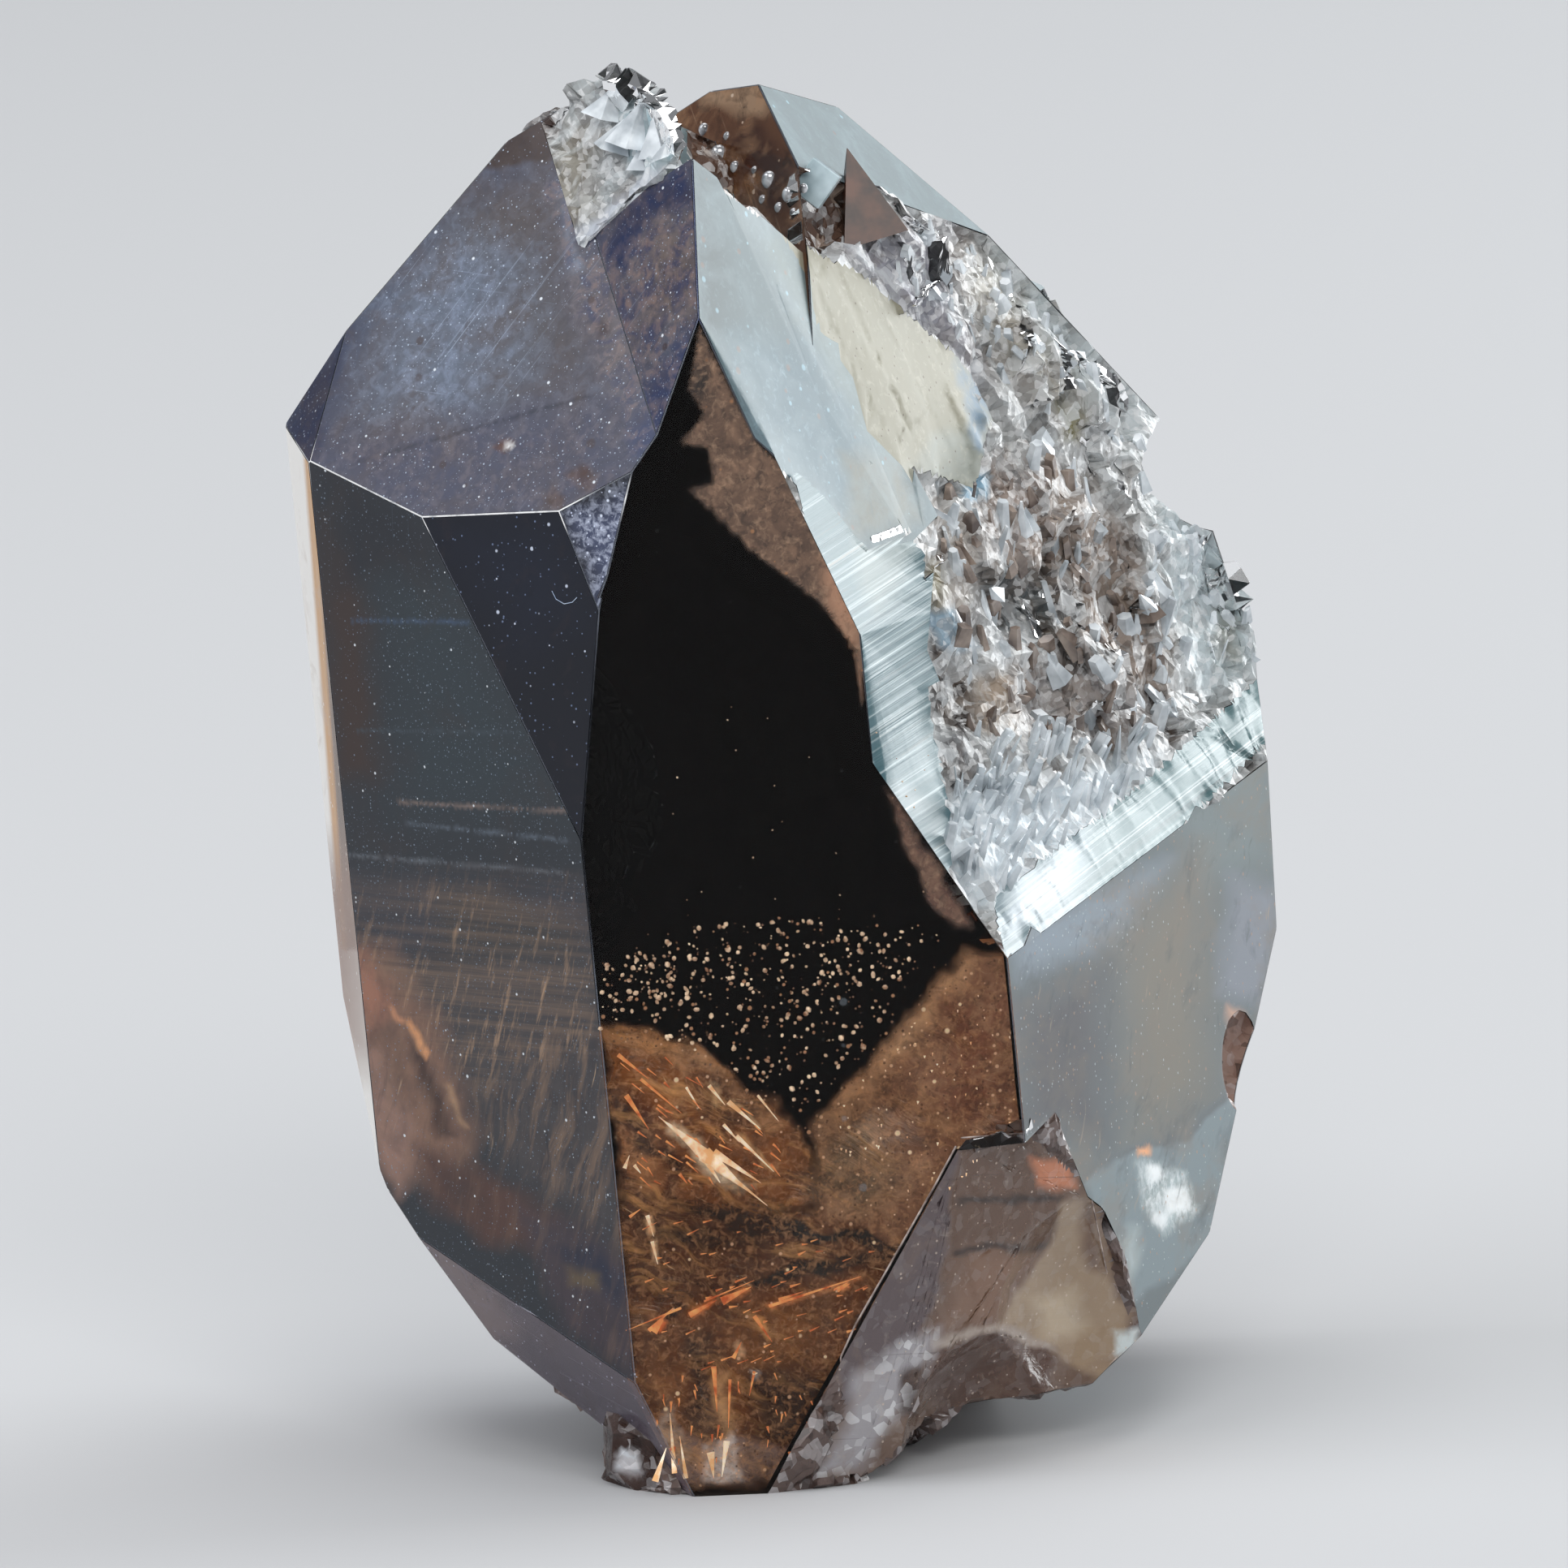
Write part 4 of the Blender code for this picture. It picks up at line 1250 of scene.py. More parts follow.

# %% [markdown]
# ## The chip and the root
# At the lower right a piece has broken away and left smooth shell-shaped hollows, clear brown on the left and
# cream on the right. The foot is rough and stained, and on the left it carries raised ribs whose near-white
# colour is a painted highlight.

# %% Chip, nub and root
chip_film = film(
    "shell_fracture",
    rough=0.22,
    coat=0.4,
    bump=0.5,
    overlays=[
        ("mottling", {"Size": 1.8, "Amount": 0.22}, (150, 126, 110), 0.5, 0),
        ("growth_lines", {"Spacing": 0.35, "Amount": 0.05, "turn": 0, "raise": 0.5}, (66, 48, 42), 0.6, 0),
        ("mottling", {"Size": 0.5, "Amount": 0.16}, (206, 190, 176), 0.5, 0.3),
        ("broken_grain", {"Size": 0.35, "out": "Bright", "by": "dust", "raise": 0.4}, (240, 240, 242), 0.8, 0.8),
        ("specks", {"Size": 0.22, "Amount": 0.4}, (226, 206, 190), 0.7, 0.5),
    ],
)
CHIP_PATCHES = [
    patch([(1180, 1408), (1030, 1676), (1038, 1742), (1135, 1642), (1146, 1616), (1169, 1542), (1167, 1490),
           (1184, 1435)], 5, tint=(112, 98, 100), cover=0.78),
    patch([(1184, 1400), (1264, 1398), (1322, 1454), (1310, 1480), (1290, 1540), (1230, 1630), (1150, 1655),
           (1135, 1642), (1150, 1616), (1172, 1542), (1170, 1490), (1186, 1435)], 4, tint=(112, 84, 68),
          cover=0.8),
    patch([(1190, 1540), (1280, 1545), (1225, 1630), (1160, 1640)], 16, tint=(146, 112, 92)),
    patch([(1180, 1476), (1310, 1472), (1308, 1480), (1180, 1484)], 3, tint=(60, 44, 38)),
    patch([(1176, 1536), (1290, 1530), (1288, 1538), (1176, 1545)], 3, tint=(64, 46, 40)),
    patch([(1268, 1425), (1320, 1430), (1325, 1462), (1280, 1462)], 6, tint=(206, 132, 96), cover=0.92),
    patch([(1310, 1480), (1348, 1475), (1368, 1572), (1392, 1616), (1372, 1705), (1300, 1672), (1230, 1630),
           (1290, 1540)], 5, tint=(172, 148, 122), cover=0.9),
    patch([(1330, 1480), (1346, 1480), (1362, 1570), (1340, 1560)], 8, tint=(120, 92, 74)),
    patch([(1270, 1600), (1320, 1590), (1340, 1640), (1290, 1650)], 12, tint=(206, 186, 160)),
    patch([(1150, 1652), (1225, 1632), (1300, 1662), (1290, 1726), (1160, 1734), (1120, 1700)], 5,
          tint=(98, 70, 58), cover=0.85),
    patch([(1148, 1650), (1225, 1628), (1300, 1658), (1300, 1668), (1225, 1640), (1152, 1660)], 3,
          tint=(186, 170, 158)),
    patch([(1040, 1760), (1050, 1700), (1120, 1650), (1160, 1640), (1120, 1720), (1060, 1812), (1000, 1822)],
          10, tint=(176, 172, 176), cover=0.92, dust=1.0),
    patch([(1110, 1690), (1140, 1680), (1130, 1740), (1104, 1740)], 6, tint=(70, 50, 44)),
    patch([(1387, 1640), (1480, 1550), (1500, 1560), (1400, 1680)], 6, tint=(74, 60, 66), cover=0.9),
    patch([(1372, 1640), (1405, 1632), (1400, 1676), (1372, 1672)], 4, tint=(222, 232, 232), cover=0.96),
]
dress("chip_film", by_face(CHIP), chip_film, (124, 100, 86), 0.82, 0.1, 0.0, CHIP_PATCHES,
      ((1180, 1480), (1310, 1476)), step=0.26, shake=4)

root_stain = film(
    "root_stain",
    rough=0.3,
    bump=0.6,
    coat=0.3,
    overlays=[
        ("mottling", {"Size": 2.0, "Amount": 0.26}, (150, 132, 128), 0.6, 0),
        ("mottling", {"Size": 0.9, "Amount": 0.2}, (64, 42, 34), 0.8, 0),
        ("broken_grain", {"Size": 0.4, "out": "Bright", "raise": 0.8}, (226, 222, 224), 0.6, 0.5),
        ("broken_grain", {"Size": 0.5, "out": "Dark"}, (48, 34, 30), 0.7, 0.2),
    ],
)
dress("root_crust", broken_at(-40, 40, -5, 20), root_stain, (104, 86, 80), 0.88, 0.4, 0.0,
      # Painted highlight: a pale pink gleam on the notch at the right.
      [patch([(1480, 1200), (1580, 1200), (1580, 1420), (1480, 1420)], 10, tint=(186, 158, 146), cover=0.95)],
      ((600, 1600), (900, 1700)), step=0.45, flat=False)
dress("nub_film", by_face(NUB), root_stain, (70, 46, 38), 0.6, 0.4, 0.0,
      # Painted highlight: a white glint on the nub.
      [patch([(765, 1790), (785, 1790), (785, 1815), (765, 1815)], 5, tint=(240, 244, 250), cover=1.0)],
      ((724, 1727), (804, 1822)), step=0.3)

root_lines = film(
    "root_striations",
    rough=0.24,
    coat=0.3,
    overlays=[
        ("mottling", {"Size": 1.6, "Amount": 0.24}, (70, 52, 56), 0.6, 0),
        ("mottling", {"Size": 0.6, "Amount": 0.2}, (132, 122, 138), 0.5, 0),
        ("growth_lines", {"Spacing": 0.5, "Amount": 0.03, "turn": 0, "raise": 0.6}, (196, 196, 216), 0.8, 0.3),
        ("growth_lines", {"Spacing": 0.3, "Amount": 0.08, "turn": 0}, (58, 46, 56), 0.6, 0),
        ("specks", {"Size": 0.22, "Amount": 0.7, "amount by": "dust"}, (206, 206, 226), 0.7, 0.5),
    ],
)
dress("root_striations", by_face("root striated", "root outer left", "root lower left"), root_lines,
      (98, 88, 98), 0.82, 0.6, 0.0,
      [
          patch([(500, 1500), (560, 1530), (640, 1640), (600, 1660)], 18, tint=(126, 110, 112)),
          patch([(640, 1640), (790, 1730), (790, 1800), (660, 1700)], 18, tint=(84, 76, 88)),
      ], ((545, 1530), (660, 1610)), step=0.32)

# %% Raised ribs on the root, painted bright as a highlight
def rib(mesh_edit, start, end, width, height):
    """A thin straight ridge that lies on the body between two pixels of the photograph."""
    (a, out), (b, _) = on_body(*start), on_body(*end)
    along = (b - a).normalized()
    out = (out - along * out.dot(along)).normalized()
    turn = Matrix((along, out.cross(along), out)).transposed().to_4x4()
    size = Matrix.Diagonal(((b - a).length, width * MM, height * MM, 1))
    made = bmesh.ops.create_cube(
        mesh_edit, size=1, matrix=Matrix.Translation((a + b) / 2) @ turn @ size
    )
    edges = {e for v in made["verts"] for e in v.link_edges}
    bmesh.ops.bevel(mesh_edit, geom=list(edges), affect="EDGES", offset=height * 0.3 * MM,
                    segments=1, profile=0.5, material=-1)


ribs = bmesh.new()
for start, end, width, height in [
    ((552, 1537), (636, 1588), 0.16, 0.05),
    ((560, 1532), (650, 1588), 0.05, 0.05),
    ((592, 1584), (664, 1622), 0.07, 0.05),
    ((640, 1592), (664, 1608), 0.14, 0.05),
    ((660, 1612), (785, 1697), 0.05, 0.05),
    ((704, 1645), (783, 1694), 0.10, 0.06),
    ((690, 1691), (786, 1744), 0.07, 0.05),
    ((700, 1672), (786, 1722), 0.03, 0.05),
    ((580, 1536), (700, 1606), 0.03, 0.04),
    ((620, 1620), (680, 1660), 0.03, 0.04),
]:
    rib(ribs, start, end, width, height)
# The pale tone of the ribs is a painted highlight along the ridges.
rib_film, rib_tree = new_material("rib_painted_highlight")
rib_place = add(rib_tree, "ShaderNodeTexCoord")
rib_noise = add(rib_tree, "ShaderNodeTexNoise", {"Vector": rib_place.outputs["Object"], "Scale": 1800.0})
rib_tone = add(
    rib_tree,
    "ShaderNodeMix",
    {0: rib_noise.outputs["Fac"], 6: rgb(120, 116, 136), 7: rgb(236, 236, 246)},
    data_type="RGBA",
)
rib_coat = add(
    rib_tree, "ShaderNodeBsdfPrincipled", {"Base Color": rib_tone.outputs[2], "Roughness": 0.25}
)
add(rib_tree, "ShaderNodeOutputMaterial", {"Surface": rib_coat.outputs[0]})
rib_piece = new_object("root_ribs_painted_highlight", ribs, rib_film)
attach(rib_piece, "root")
print("ribs:", len(rib_piece.data.polygons), "faces")

# %% The back
back_film = film(
    "back_etching",
    rough=0.28,
    overlays=[
        ("mottling", {"Size": 4.0, "Amount": 0.34}, (86, 60, 46), 0.7, 0),
        ("mottling", {"Size": 1.6, "Amount": 0.26}, (30, 30, 38), 0.6, 0),
        ("growth_lines", {"Spacing": 1.1, "Amount": 0.04, "Run": 0.04, "turn": 0, "raise": 0.5},
         (122, 128, 140), 0.6, 0),
        ("growth_lines", {"Spacing": 0.35, "Amount": 0.04, "Run": 0.04, "turn": 0, "raise": 0.4},
         (96, 102, 114), 0.5, 0),
        ("growth_lines", {"Spacing": 0.6, "Amount": 0.06, "Run": 0.25, "Waver": 2.0, "turn": 84,
                          "by": "streak"}, (176, 138, 102), 0.7, 0),
        ("mottling", {"Size": 0.5, "Amount": 0.3, "by": "streak"}, (150, 118, 94), 0.6, 0),
        ("mottling", {"Size": 0.4, "Amount": 0.34, "by": "rows"}, (170, 182, 194), 0.6, 0),
        ("specks", {"Size": 0.2, "Amount": 0.9, "amount by": "dust"}, (160, 168, 180), 0.7, 0.6),
        ("specks", {"Size": 0.34, "Amount": 0.08}, (226, 230, 236), 0.9, 0.6),
    ],
)
BACK_PATCHES = [
    patch([(300, 1150), (1700, 1100), (1700, 1700), (300, 1700)], 120, tint=(98, 70, 54), streak=1.0),
    patch([(600, 1250), (1100, 1200), (1200, 1600), (700, 1600)], 90, tint=(120, 82, 54), streak=1.0),
    patch([(300, 100), (1700, 100), (1700, 420), (300, 520)], 60, tint=(96, 104, 116), rows=0.9, dust=1.0),
    patch([(1150, 500), (1500, 650), (1600, 1100), (1300, 1050)], 80, tint=(112, 120, 124), rows=0.6),
    patch([(500, 700), (820, 640), (860, 1000), (560, 1080)], 80, tint=(38, 42, 54), dust=1.0),
]
BACK = ["back prism", "back right prism", "back left prism", "rear left tip face", "rear tip face",
        "rear top", "rear top left", "rear top middle", "rear upper right", "rear right",
        "rear far right"]
dress("back_films", by_face(*BACK), back_film, (56, 54, 62), 0.86, 0.6, 0.1, BACK_PATCHES,
      ((0, 0), (100, -8)), step=0.6, shake=40)

# %% Worn edges, with a painted highlight
edge_film = film("worn_edges_and_painted_highlight", rough=0.2, overlays=[
    ("mottling", {"Size": 0.7, "Amount": 0.3}, (110, 116, 130), 0.6, 0),
])
dress("worn_edge_and_highlight_lines", by_face(WORN_EDGE), edge_film, (128, 134, 146), 0.5, 0.5, 0.0,
      [
          # Painted highlight: the white line along the lower edges of the big tip face.
          patch([(345, 545), (385, 545), (525, 625), (690, 620), (780, 595), (790, 622), (700, 656),
                 (520, 660), (345, 580)], 4, tint=(255, 255, 255), cover=1.0),
          patch([(840, 200), (870, 200), (875, 400), (850, 400)], 4, tint=(84, 96, 140), cover=0.7),
          patch([(700, 780), (735, 780), (730, 1190), (700, 1190)], 5, tint=(40, 44, 56), cover=0.3),
      ],
      ((0, 0), (1, 0)), lift=0.008, step=0.6, shake=0)

# %% [markdown]
# ## Inside the stone
# In the lower third light comes back from veils and old cracks inside the stone. They are thin sheets sunk
# under the front face, so the glass above them darkens and warms them, and they shift a little when seen from
# another side. The sheets also glow a little in their own colour. That glow is painted light, in place of the
# light that comes through the stone from behind, and their white and orange flashes are painted highlights.

# %% Amber depths behind the front face, with a painted glow
DEPTH_PATCHES = [
    patch([(740, 1268), (800, 1272), (870, 1300), (940, 1350), (985, 1395), (1010, 1480), (940, 1490),
           (860, 1486), (770, 1470)], 6, tint=(132, 78, 32), cover=0.98, dust=0.3, streak=1.0),
    patch([(742, 1262), (840, 1280), (905, 1330), (970, 1388), (950, 1396), (880, 1336), (820, 1300),
           (745, 1290)], 6, tint=(196, 144, 96), cover=0.98, dust=1.0),
    patch([(758, 1340), (790, 1350), (850, 1440), (830, 1470), (780, 1420)], 9, tint=(84, 40, 12)),
    patch([(770, 1400), (810, 1400), (815, 1470), (775, 1470)], 8, tint=(168, 116, 74)),
    patch([(850, 1300), (930, 1360), (900, 1400), (840, 1340)], 10, tint=(112, 68, 30)),
    # Painted highlights: the next five patches paint pale flashes and glints.
    patch([(826, 1390), (842, 1386), (884, 1428), (930, 1462), (914, 1470), (868, 1440)], 4,
          tint=(255, 240, 210), cover=1.0, streak=0.6),
    patch([(858, 1418), (884, 1416), (900, 1450), (884, 1460)], 4, tint=(255, 248, 226), cover=1.0, streak=0.3),
    patch([(896, 1356), (904, 1354), (936, 1384), (932, 1390)], 2.5, tint=(250, 214, 164), cover=1.0),
    patch([(872, 1340), (878, 1338), (892, 1358), (888, 1362)], 2.5, tint=(250, 214, 164), cover=1.0),
    patch([(906, 1400), (912, 1398), (952, 1440), (948, 1444)], 2.5, tint=(232, 186, 130), cover=1.0),
    patch([(756, 1350), (764, 1352), (800, 1400), (850, 1450), (846, 1456), (790, 1412)], 3, tint=(44, 20, 8)),
    patch([(1000, 1392), (1100, 1275), (1190, 1172), (1262, 1182), (1275, 1404), (1180, 1430),
           (1110, 1560), (1010, 1500)], 7, tint=(132, 94, 70), cover=0.98, dust=1.0, streak=0.2),
    patch([(1010, 1380), (1100, 1275), (1190, 1172), (1206, 1180), (1120, 1290), (1050, 1380)], 9,
          tint=(188, 148, 112), dust=1.0),
    patch([(1010, 1390), (1080, 1370), (1110, 1460), (1060, 1500), (1000, 1470)], 20, tint=(112, 92, 70),
          dust=1.0, streak=0.5),
    patch([(1160, 1240), (1250, 1220), (1260, 1380), (1170, 1400)], 24, tint=(118, 74, 54)),
    patch([(764, 1456), (860, 1484), (1000, 1490), (1110, 1530), (1090, 1620), (900, 1600), (770, 1600)], 8,
          tint=(80, 42, 16), cover=0.98, streak=0.9),
    patch([(836, 1482), (870, 1490), (960, 1496), (1000, 1514), (1080, 1520), (1104, 1536), (1104, 1548),
           (1040, 1530), (980, 1528), (920, 1524), (860, 1500)], 2.5, tint=(10, 5, 3), cover=1.0, dust=0.0,
          streak=0.0),
    patch([(886, 1596), (930, 1580), (960, 1562), (1040, 1546), (1104, 1546), (1096, 1556), (1040, 1560),
           (980, 1578), (930, 1592)], 2.5, tint=(12, 6, 4), cover=1.0, dust=0.0, streak=0.0),
    patch([(786, 1500), (880, 1520), (940, 1530), (900, 1540), (800, 1530)], 5, tint=(36, 18, 8),
          cover=1.0, streak=0.4),
    patch([(772, 1596), (900, 1600), (960, 1590), (1080, 1566), (1040, 1680), (1036, 1760), (1000, 1830),
           (785, 1830)], 8, tint=(100, 56, 22), cover=0.98, dust=0.3, streak=0.5),
    patch([(846, 1650), (876, 1640), (884, 1760), (850, 1770)], 10, tint=(48, 24, 8)),
    patch([(900, 1640), (950, 1610), (1020, 1600), (990, 1680), (960, 1720), (910, 1690)], 14,
          tint=(124, 76, 32)),
    patch([(920, 1690), (1030, 1690), (1020, 1780), (930, 1780)], 14, tint=(44, 22, 8)),
    patch([(800, 1700), (830, 1690), (850, 1790), (810, 1800)], 10, tint=(140, 92, 54)),
    patch([(880, 1700), (896, 1690), (902, 1770), (886, 1776)], 5, tint=(186, 146, 104)),
    patch([(784, 1628), (840, 1606), (842, 1612), (800, 1636)], 2.5, tint=(40, 18, 8), cover=1.0),
    # Painted highlights: the next ten small patches paint orange, pale and white glints.
    patch([(806, 1634), (816, 1624), (822, 1628), (814, 1642)], 2, tint=(255, 128, 62), cover=1.0),
    patch([(850, 1618), (880, 1600), (884, 1604), (856, 1622)], 2, tint=(255, 140, 72), cover=1.0),
    patch([(892, 1600), (916, 1586), (928, 1588), (904, 1604)], 2, tint=(255, 156, 88), cover=1.0),
    patch([(944, 1608), (1000, 1592), (1060, 1572), (1062, 1576), (1002, 1598), (950, 1614)], 2,
          tint=(206, 130, 80), cover=1.0),
    patch([(1034, 1586), (1044, 1580), (1048, 1586), (1038, 1592)], 2, tint=(255, 168, 110), cover=1.0),
    patch([(930, 1626), (938, 1622), (952, 1650), (946, 1654)], 2, tint=(240, 176, 110), cover=1.0),
    patch([(905, 1655), (912, 1652), (918, 1670), (910, 1674)], 2, tint=(232, 190, 150), cover=1.0),
    patch([(928, 1690), (936, 1690), (936, 1700), (928, 1700)], 2, tint=(250, 250, 250), cover=1.0),
    patch([(796, 1500), (804, 1498), (808, 1520), (800, 1524)], 2, tint=(250, 206, 160), cover=1.0),
    patch([(804, 1530), (810, 1530), (812, 1556), (806, 1556)], 2, tint=(250, 216, 176), cover=1.0),
    patch([(786, 1776), (860, 1770), (1010, 1786), (1000, 1832), (790, 1834)], 6, tint=(132, 112, 106),
          dust=1.0),
    patch([(800, 1760), (830, 1730), (850, 1800), (810, 1826)], 5, tint=(176, 160, 150), cover=1.0, dust=1.0),
    patch([(868, 1776), (906, 1766), (910, 1824), (872, 1828)], 4, tint=(214, 210, 212), cover=1.0, dust=1.0),
]
# Painted light: glow=0.4 makes this sheet shine in its own colour, in place of light passing through the stone.
amber_depth = film(
    "amber_depths_painted_glow",
    rough=0.25,
    bump=0.8,
    glow=0.4,
    overlays=[
        ("mottling", {"Size": 2.2, "Amount": 0.3}, (58, 30, 12), 0.6, 0),
        ("mottling", {"Size": 0.9, "Amount": 0.3, "by": "dust"}, (186, 146, 112), 0.55, 0),
        ("mottling", {"Size": 0.5, "Amount": 0.28}, (44, 22, 10), 0.6, 0),
        ("growth_lines", {"Spacing": 0.8, "Amount": 0.16, "Run": 0.25, "Waver": 2.5, "turn": 38,
                          "by": "streak", "raise": 1.0}, (230, 176, 112), 0.75, 0),
        ("growth_lines", {"Spacing": 0.5, "Amount": 0.14, "Run": 0.2, "Waver": 2.5, "turn": 24,
                          "by": "streak"}, (38, 18, 8), 0.85, 0),
        ("growth_lines", {"Spacing": 0.25, "Amount": 0.02, "Run": 0.3, "Waver": 2.0, "turn": 44,
                          "by": "streak"}, (255, 228, 180), 0.9, 0),
        ("mottling", {"Size": 0.25, "Amount": 0.26}, (206, 156, 112), 0.5, 0),
        ("specks", {"Size": 0.30, "Amount": 0.9, "amount by": "dust"}, (236, 200, 164), 0.7, 0),
        ("specks", {"Size": 0.22, "Amount": 0.9, "amount by": "dust"}, (70, 44, 30), 0.7, 0),
        ("specks", {"Size": 0.45, "Amount": 0.10}, (255, 232, 196), 0.9, 0),
    ],
)
depths = dress("amber_depths_painted_glow", by_face("front prism"), amber_depth, (90, 50, 26), 0.0, 0.3, 0.0,
               DEPTH_PATCHES, ((780, 1560), (960, 1500)), lift=-0.4, step=0.24)
for vert in depths.data.vertices:
    vert.co -= facing("front prism") * (noise.noise(vert.co / (3.2 * MM)) + 0.5) * 0.5 * MM
print("depths lie about a millimetre inside")

# %% [markdown]
# ## Small things on the surface
# Hundreds of tiny forms finish the stone: gold bubbles in the band across the front face, splinters that stand
# up from the contact crust, a few loose crystals and beads near the top, and one short fibre of lint. Each
# kind is one mesh made from a simple bmesh shape that is turned, scaled and set on its face many times.

# %% Where small things go
def pixels_in(corners, count, seed):
    """Random pixels inside a patch of the photograph."""
    rng = np.random.default_rng(seed)
    low, high = np.min(corners, axis=0), np.max(corners, axis=0)
    spots = rng.uniform(low, high, size=(count * 6, 2))
    return spots[inside(spots, corners, 1) > 0.5][:count]


def speckled(name, dark, pale, rough, scale=1500.0, coat=0.0, metal=0.0, glow=0.0):
    """A finish that wanders between two colours."""
    material, tree = new_material(name)
    place = add(tree, "ShaderNodeTexCoord")
    cloud = add(
        tree, "ShaderNodeTexNoise", {"Vector": place.outputs["Object"], "Scale": scale, "Detail": 3.0}
    )
    wider = add(tree, "ShaderNodeMapRange", {"Value": cloud.outputs["Fac"], "From Min": 0.35, "From Max": 0.65})
    tone = add(
        tree, "ShaderNodeMix", {0: wider.outputs[0], 6: rgb(*dark), 7: rgb(*pale)}, data_type="RGBA"
    )
    shader = add(
        tree,
        "ShaderNodeBsdfPrincipled",
        {
            "Base Color": tone.outputs[2],
            "Roughness": rough,
            "Coat Weight": coat,
            "Metallic": metal,
        },
    )
    if glow:
        tree.links.new(tone.outputs[2], shader.inputs["Emission Color"])
        shader.inputs["Emission Strength"].default_value = glow
    add(tree, "ShaderNodeOutputMaterial", {"Surface": shader.outputs[0]})
    return material


def finished(name, mesh_edit, material, smooth=False):
    """A small piece that rides on the crystal."""
    for face in mesh_edit.faces:
        face.smooth = smooth
    made = new_object(name, mesh_edit, material)
    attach(made, "root")
    print(name, len(made.data.polygons), "faces")
    return made


# %% Gold bubbles
bubbles = bmesh.new()
BUBBLE_BANDS = [
    ([(738, 1195), (860, 1140), (990, 1132), (1165, 1145), (1120, 1210), (900, 1215), (740, 1250)], 190, 1),
    ([(790, 1200), (1120, 1195), (1060, 1300), (990, 1385), (900, 1320), (800, 1275)], 170, 2),
    ([(740, 1190), (800, 1170), (830, 1220), (740, 1270)], 40, 3),
    ([(780, 820), (1150, 900), (1150, 1120), (760, 1120)], 26, 4),
]
rng = np.random.default_rng(5)
for corners, count, seed in BUBBLE_BANDS:
    for px, py in pixels_in(corners, count, seed):
        radius = rng.uniform(0.03, 0.10) if seed < 4 else rng.uniform(0.02, 0.04)
        shape = Matrix.Diagonal((rng.uniform(0.8, 1.5), 0.5, rng.uniform(0.8, 1.3), 1))
        spot = on_face(px, py, "front prism")
        spin = Matrix.Rotation(rng.uniform(0, 3), 4, "Y")
        bmesh.ops.create_icosphere(
            bubbles, subdivisions=1, radius=radius * MM, matrix=Matrix.Translation(spot) @ spin @ shape
        )
gold = speckled("gold_bubble", (140, 92, 58), (255, 222, 184), 0.2, 2600.0, coat=0.6)
finished("gold_bubbles", bubbles, gold, smooth=True)

# %% Glowing glints in the depths
def glowing_glint(mesh_edit, start, end, width, depth=0.12):
    """A flat sliver under the front face between two pixels, pointed at its end: a painted glint."""
    out = facing("front prism")
    a, b = on_face(*start, "front prism"), on_face(*end, "front prism")
    along = (b - a).normalized()
    turn = Matrix((out.cross(along), out, along)).transposed().to_4x4()
    bmesh.ops.create_cone(
        mesh_edit,
        cap_ends=True,
        segments=8,
        radius1=width / 2 * MM,
        radius2=0.01 * MM,
        depth=(b - a).length,
        matrix=Matrix.Translation((a + b) / 2 - out * depth * MM) @ turn @ Matrix.Diagonal((1, 0.2, 1, 1)),
    )


pale_glowing_glints = bmesh.new()
for start, end, width in [
    ((872, 1426), (824, 1384), 0.5), ((868, 1422), (922, 1468), 0.6), ((880, 1420), (938, 1458), 0.3),
    ((858, 1412), (888, 1458), 0.34), ((884, 1436), (946, 1486), 0.2), ((848, 1406), (812, 1376), 0.2),
    ((898, 1358), (938, 1392), 0.2), ((874, 1338), (894, 1362), 0.16), ((908, 1400), (954, 1444), 0.16),
    ((892, 1386), (912, 1408), 0.14), ((798, 1498), (806, 1524), 0.16), ((804, 1530), (811, 1558), 0.14),
    ((770, 1440), (776, 1424), 0.16), ((782, 1436), (790, 1446), 0.14), ((846, 1340), (862, 1366), 0.1),
    ((934, 1350), (960, 1382), 0.1), ((876, 1790), (880, 1822), 0.3), ((896, 1776), (890, 1820), 0.24),
    ((808, 1826), (822, 1784), 0.26), ((832, 1816), (826, 1742), 0.2), ((846, 1822), (838, 1770), 0.16),
    ((928, 1694), (934, 1692), 0.14),
]:
    glowing_glint(pale_glowing_glints, start, end, width)
amber_glowing_glints = bmesh.new()
for start, end, width in [
    ((806, 1642), (818, 1626), 0.3), ((800, 1640), (830, 1612), 0.16), ((850, 1621), (884, 1602), 0.24),
    ((890, 1604), (926, 1586), 0.34), ((948, 1610), (1062, 1573), 0.12), ((930, 1622), (952, 1654), 0.16),
    ((1032, 1590), (1048, 1582), 0.2), ((960, 1602), (990, 1592), 0.14), ((904, 1674), (914, 1654), 0.16),
    ((840, 1612), (772, 1640), 0.10), ((868, 1604), (930, 1578), 0.08), ((762, 1300), (800, 1330), 0.16),
    ((772, 1350), (800, 1392), 0.2), ((790, 1330), (840, 1372), 0.12), ((930, 1690), (924, 1720), 0.12),
    ((880, 1684), (884, 1740), 0.2), ((900, 1700), (898, 1760), 0.12), ((776, 1500), (790, 1490), 0.12),
]:
    glowing_glint(amber_glowing_glints, start, end, width)
rng = np.random.default_rng(17)
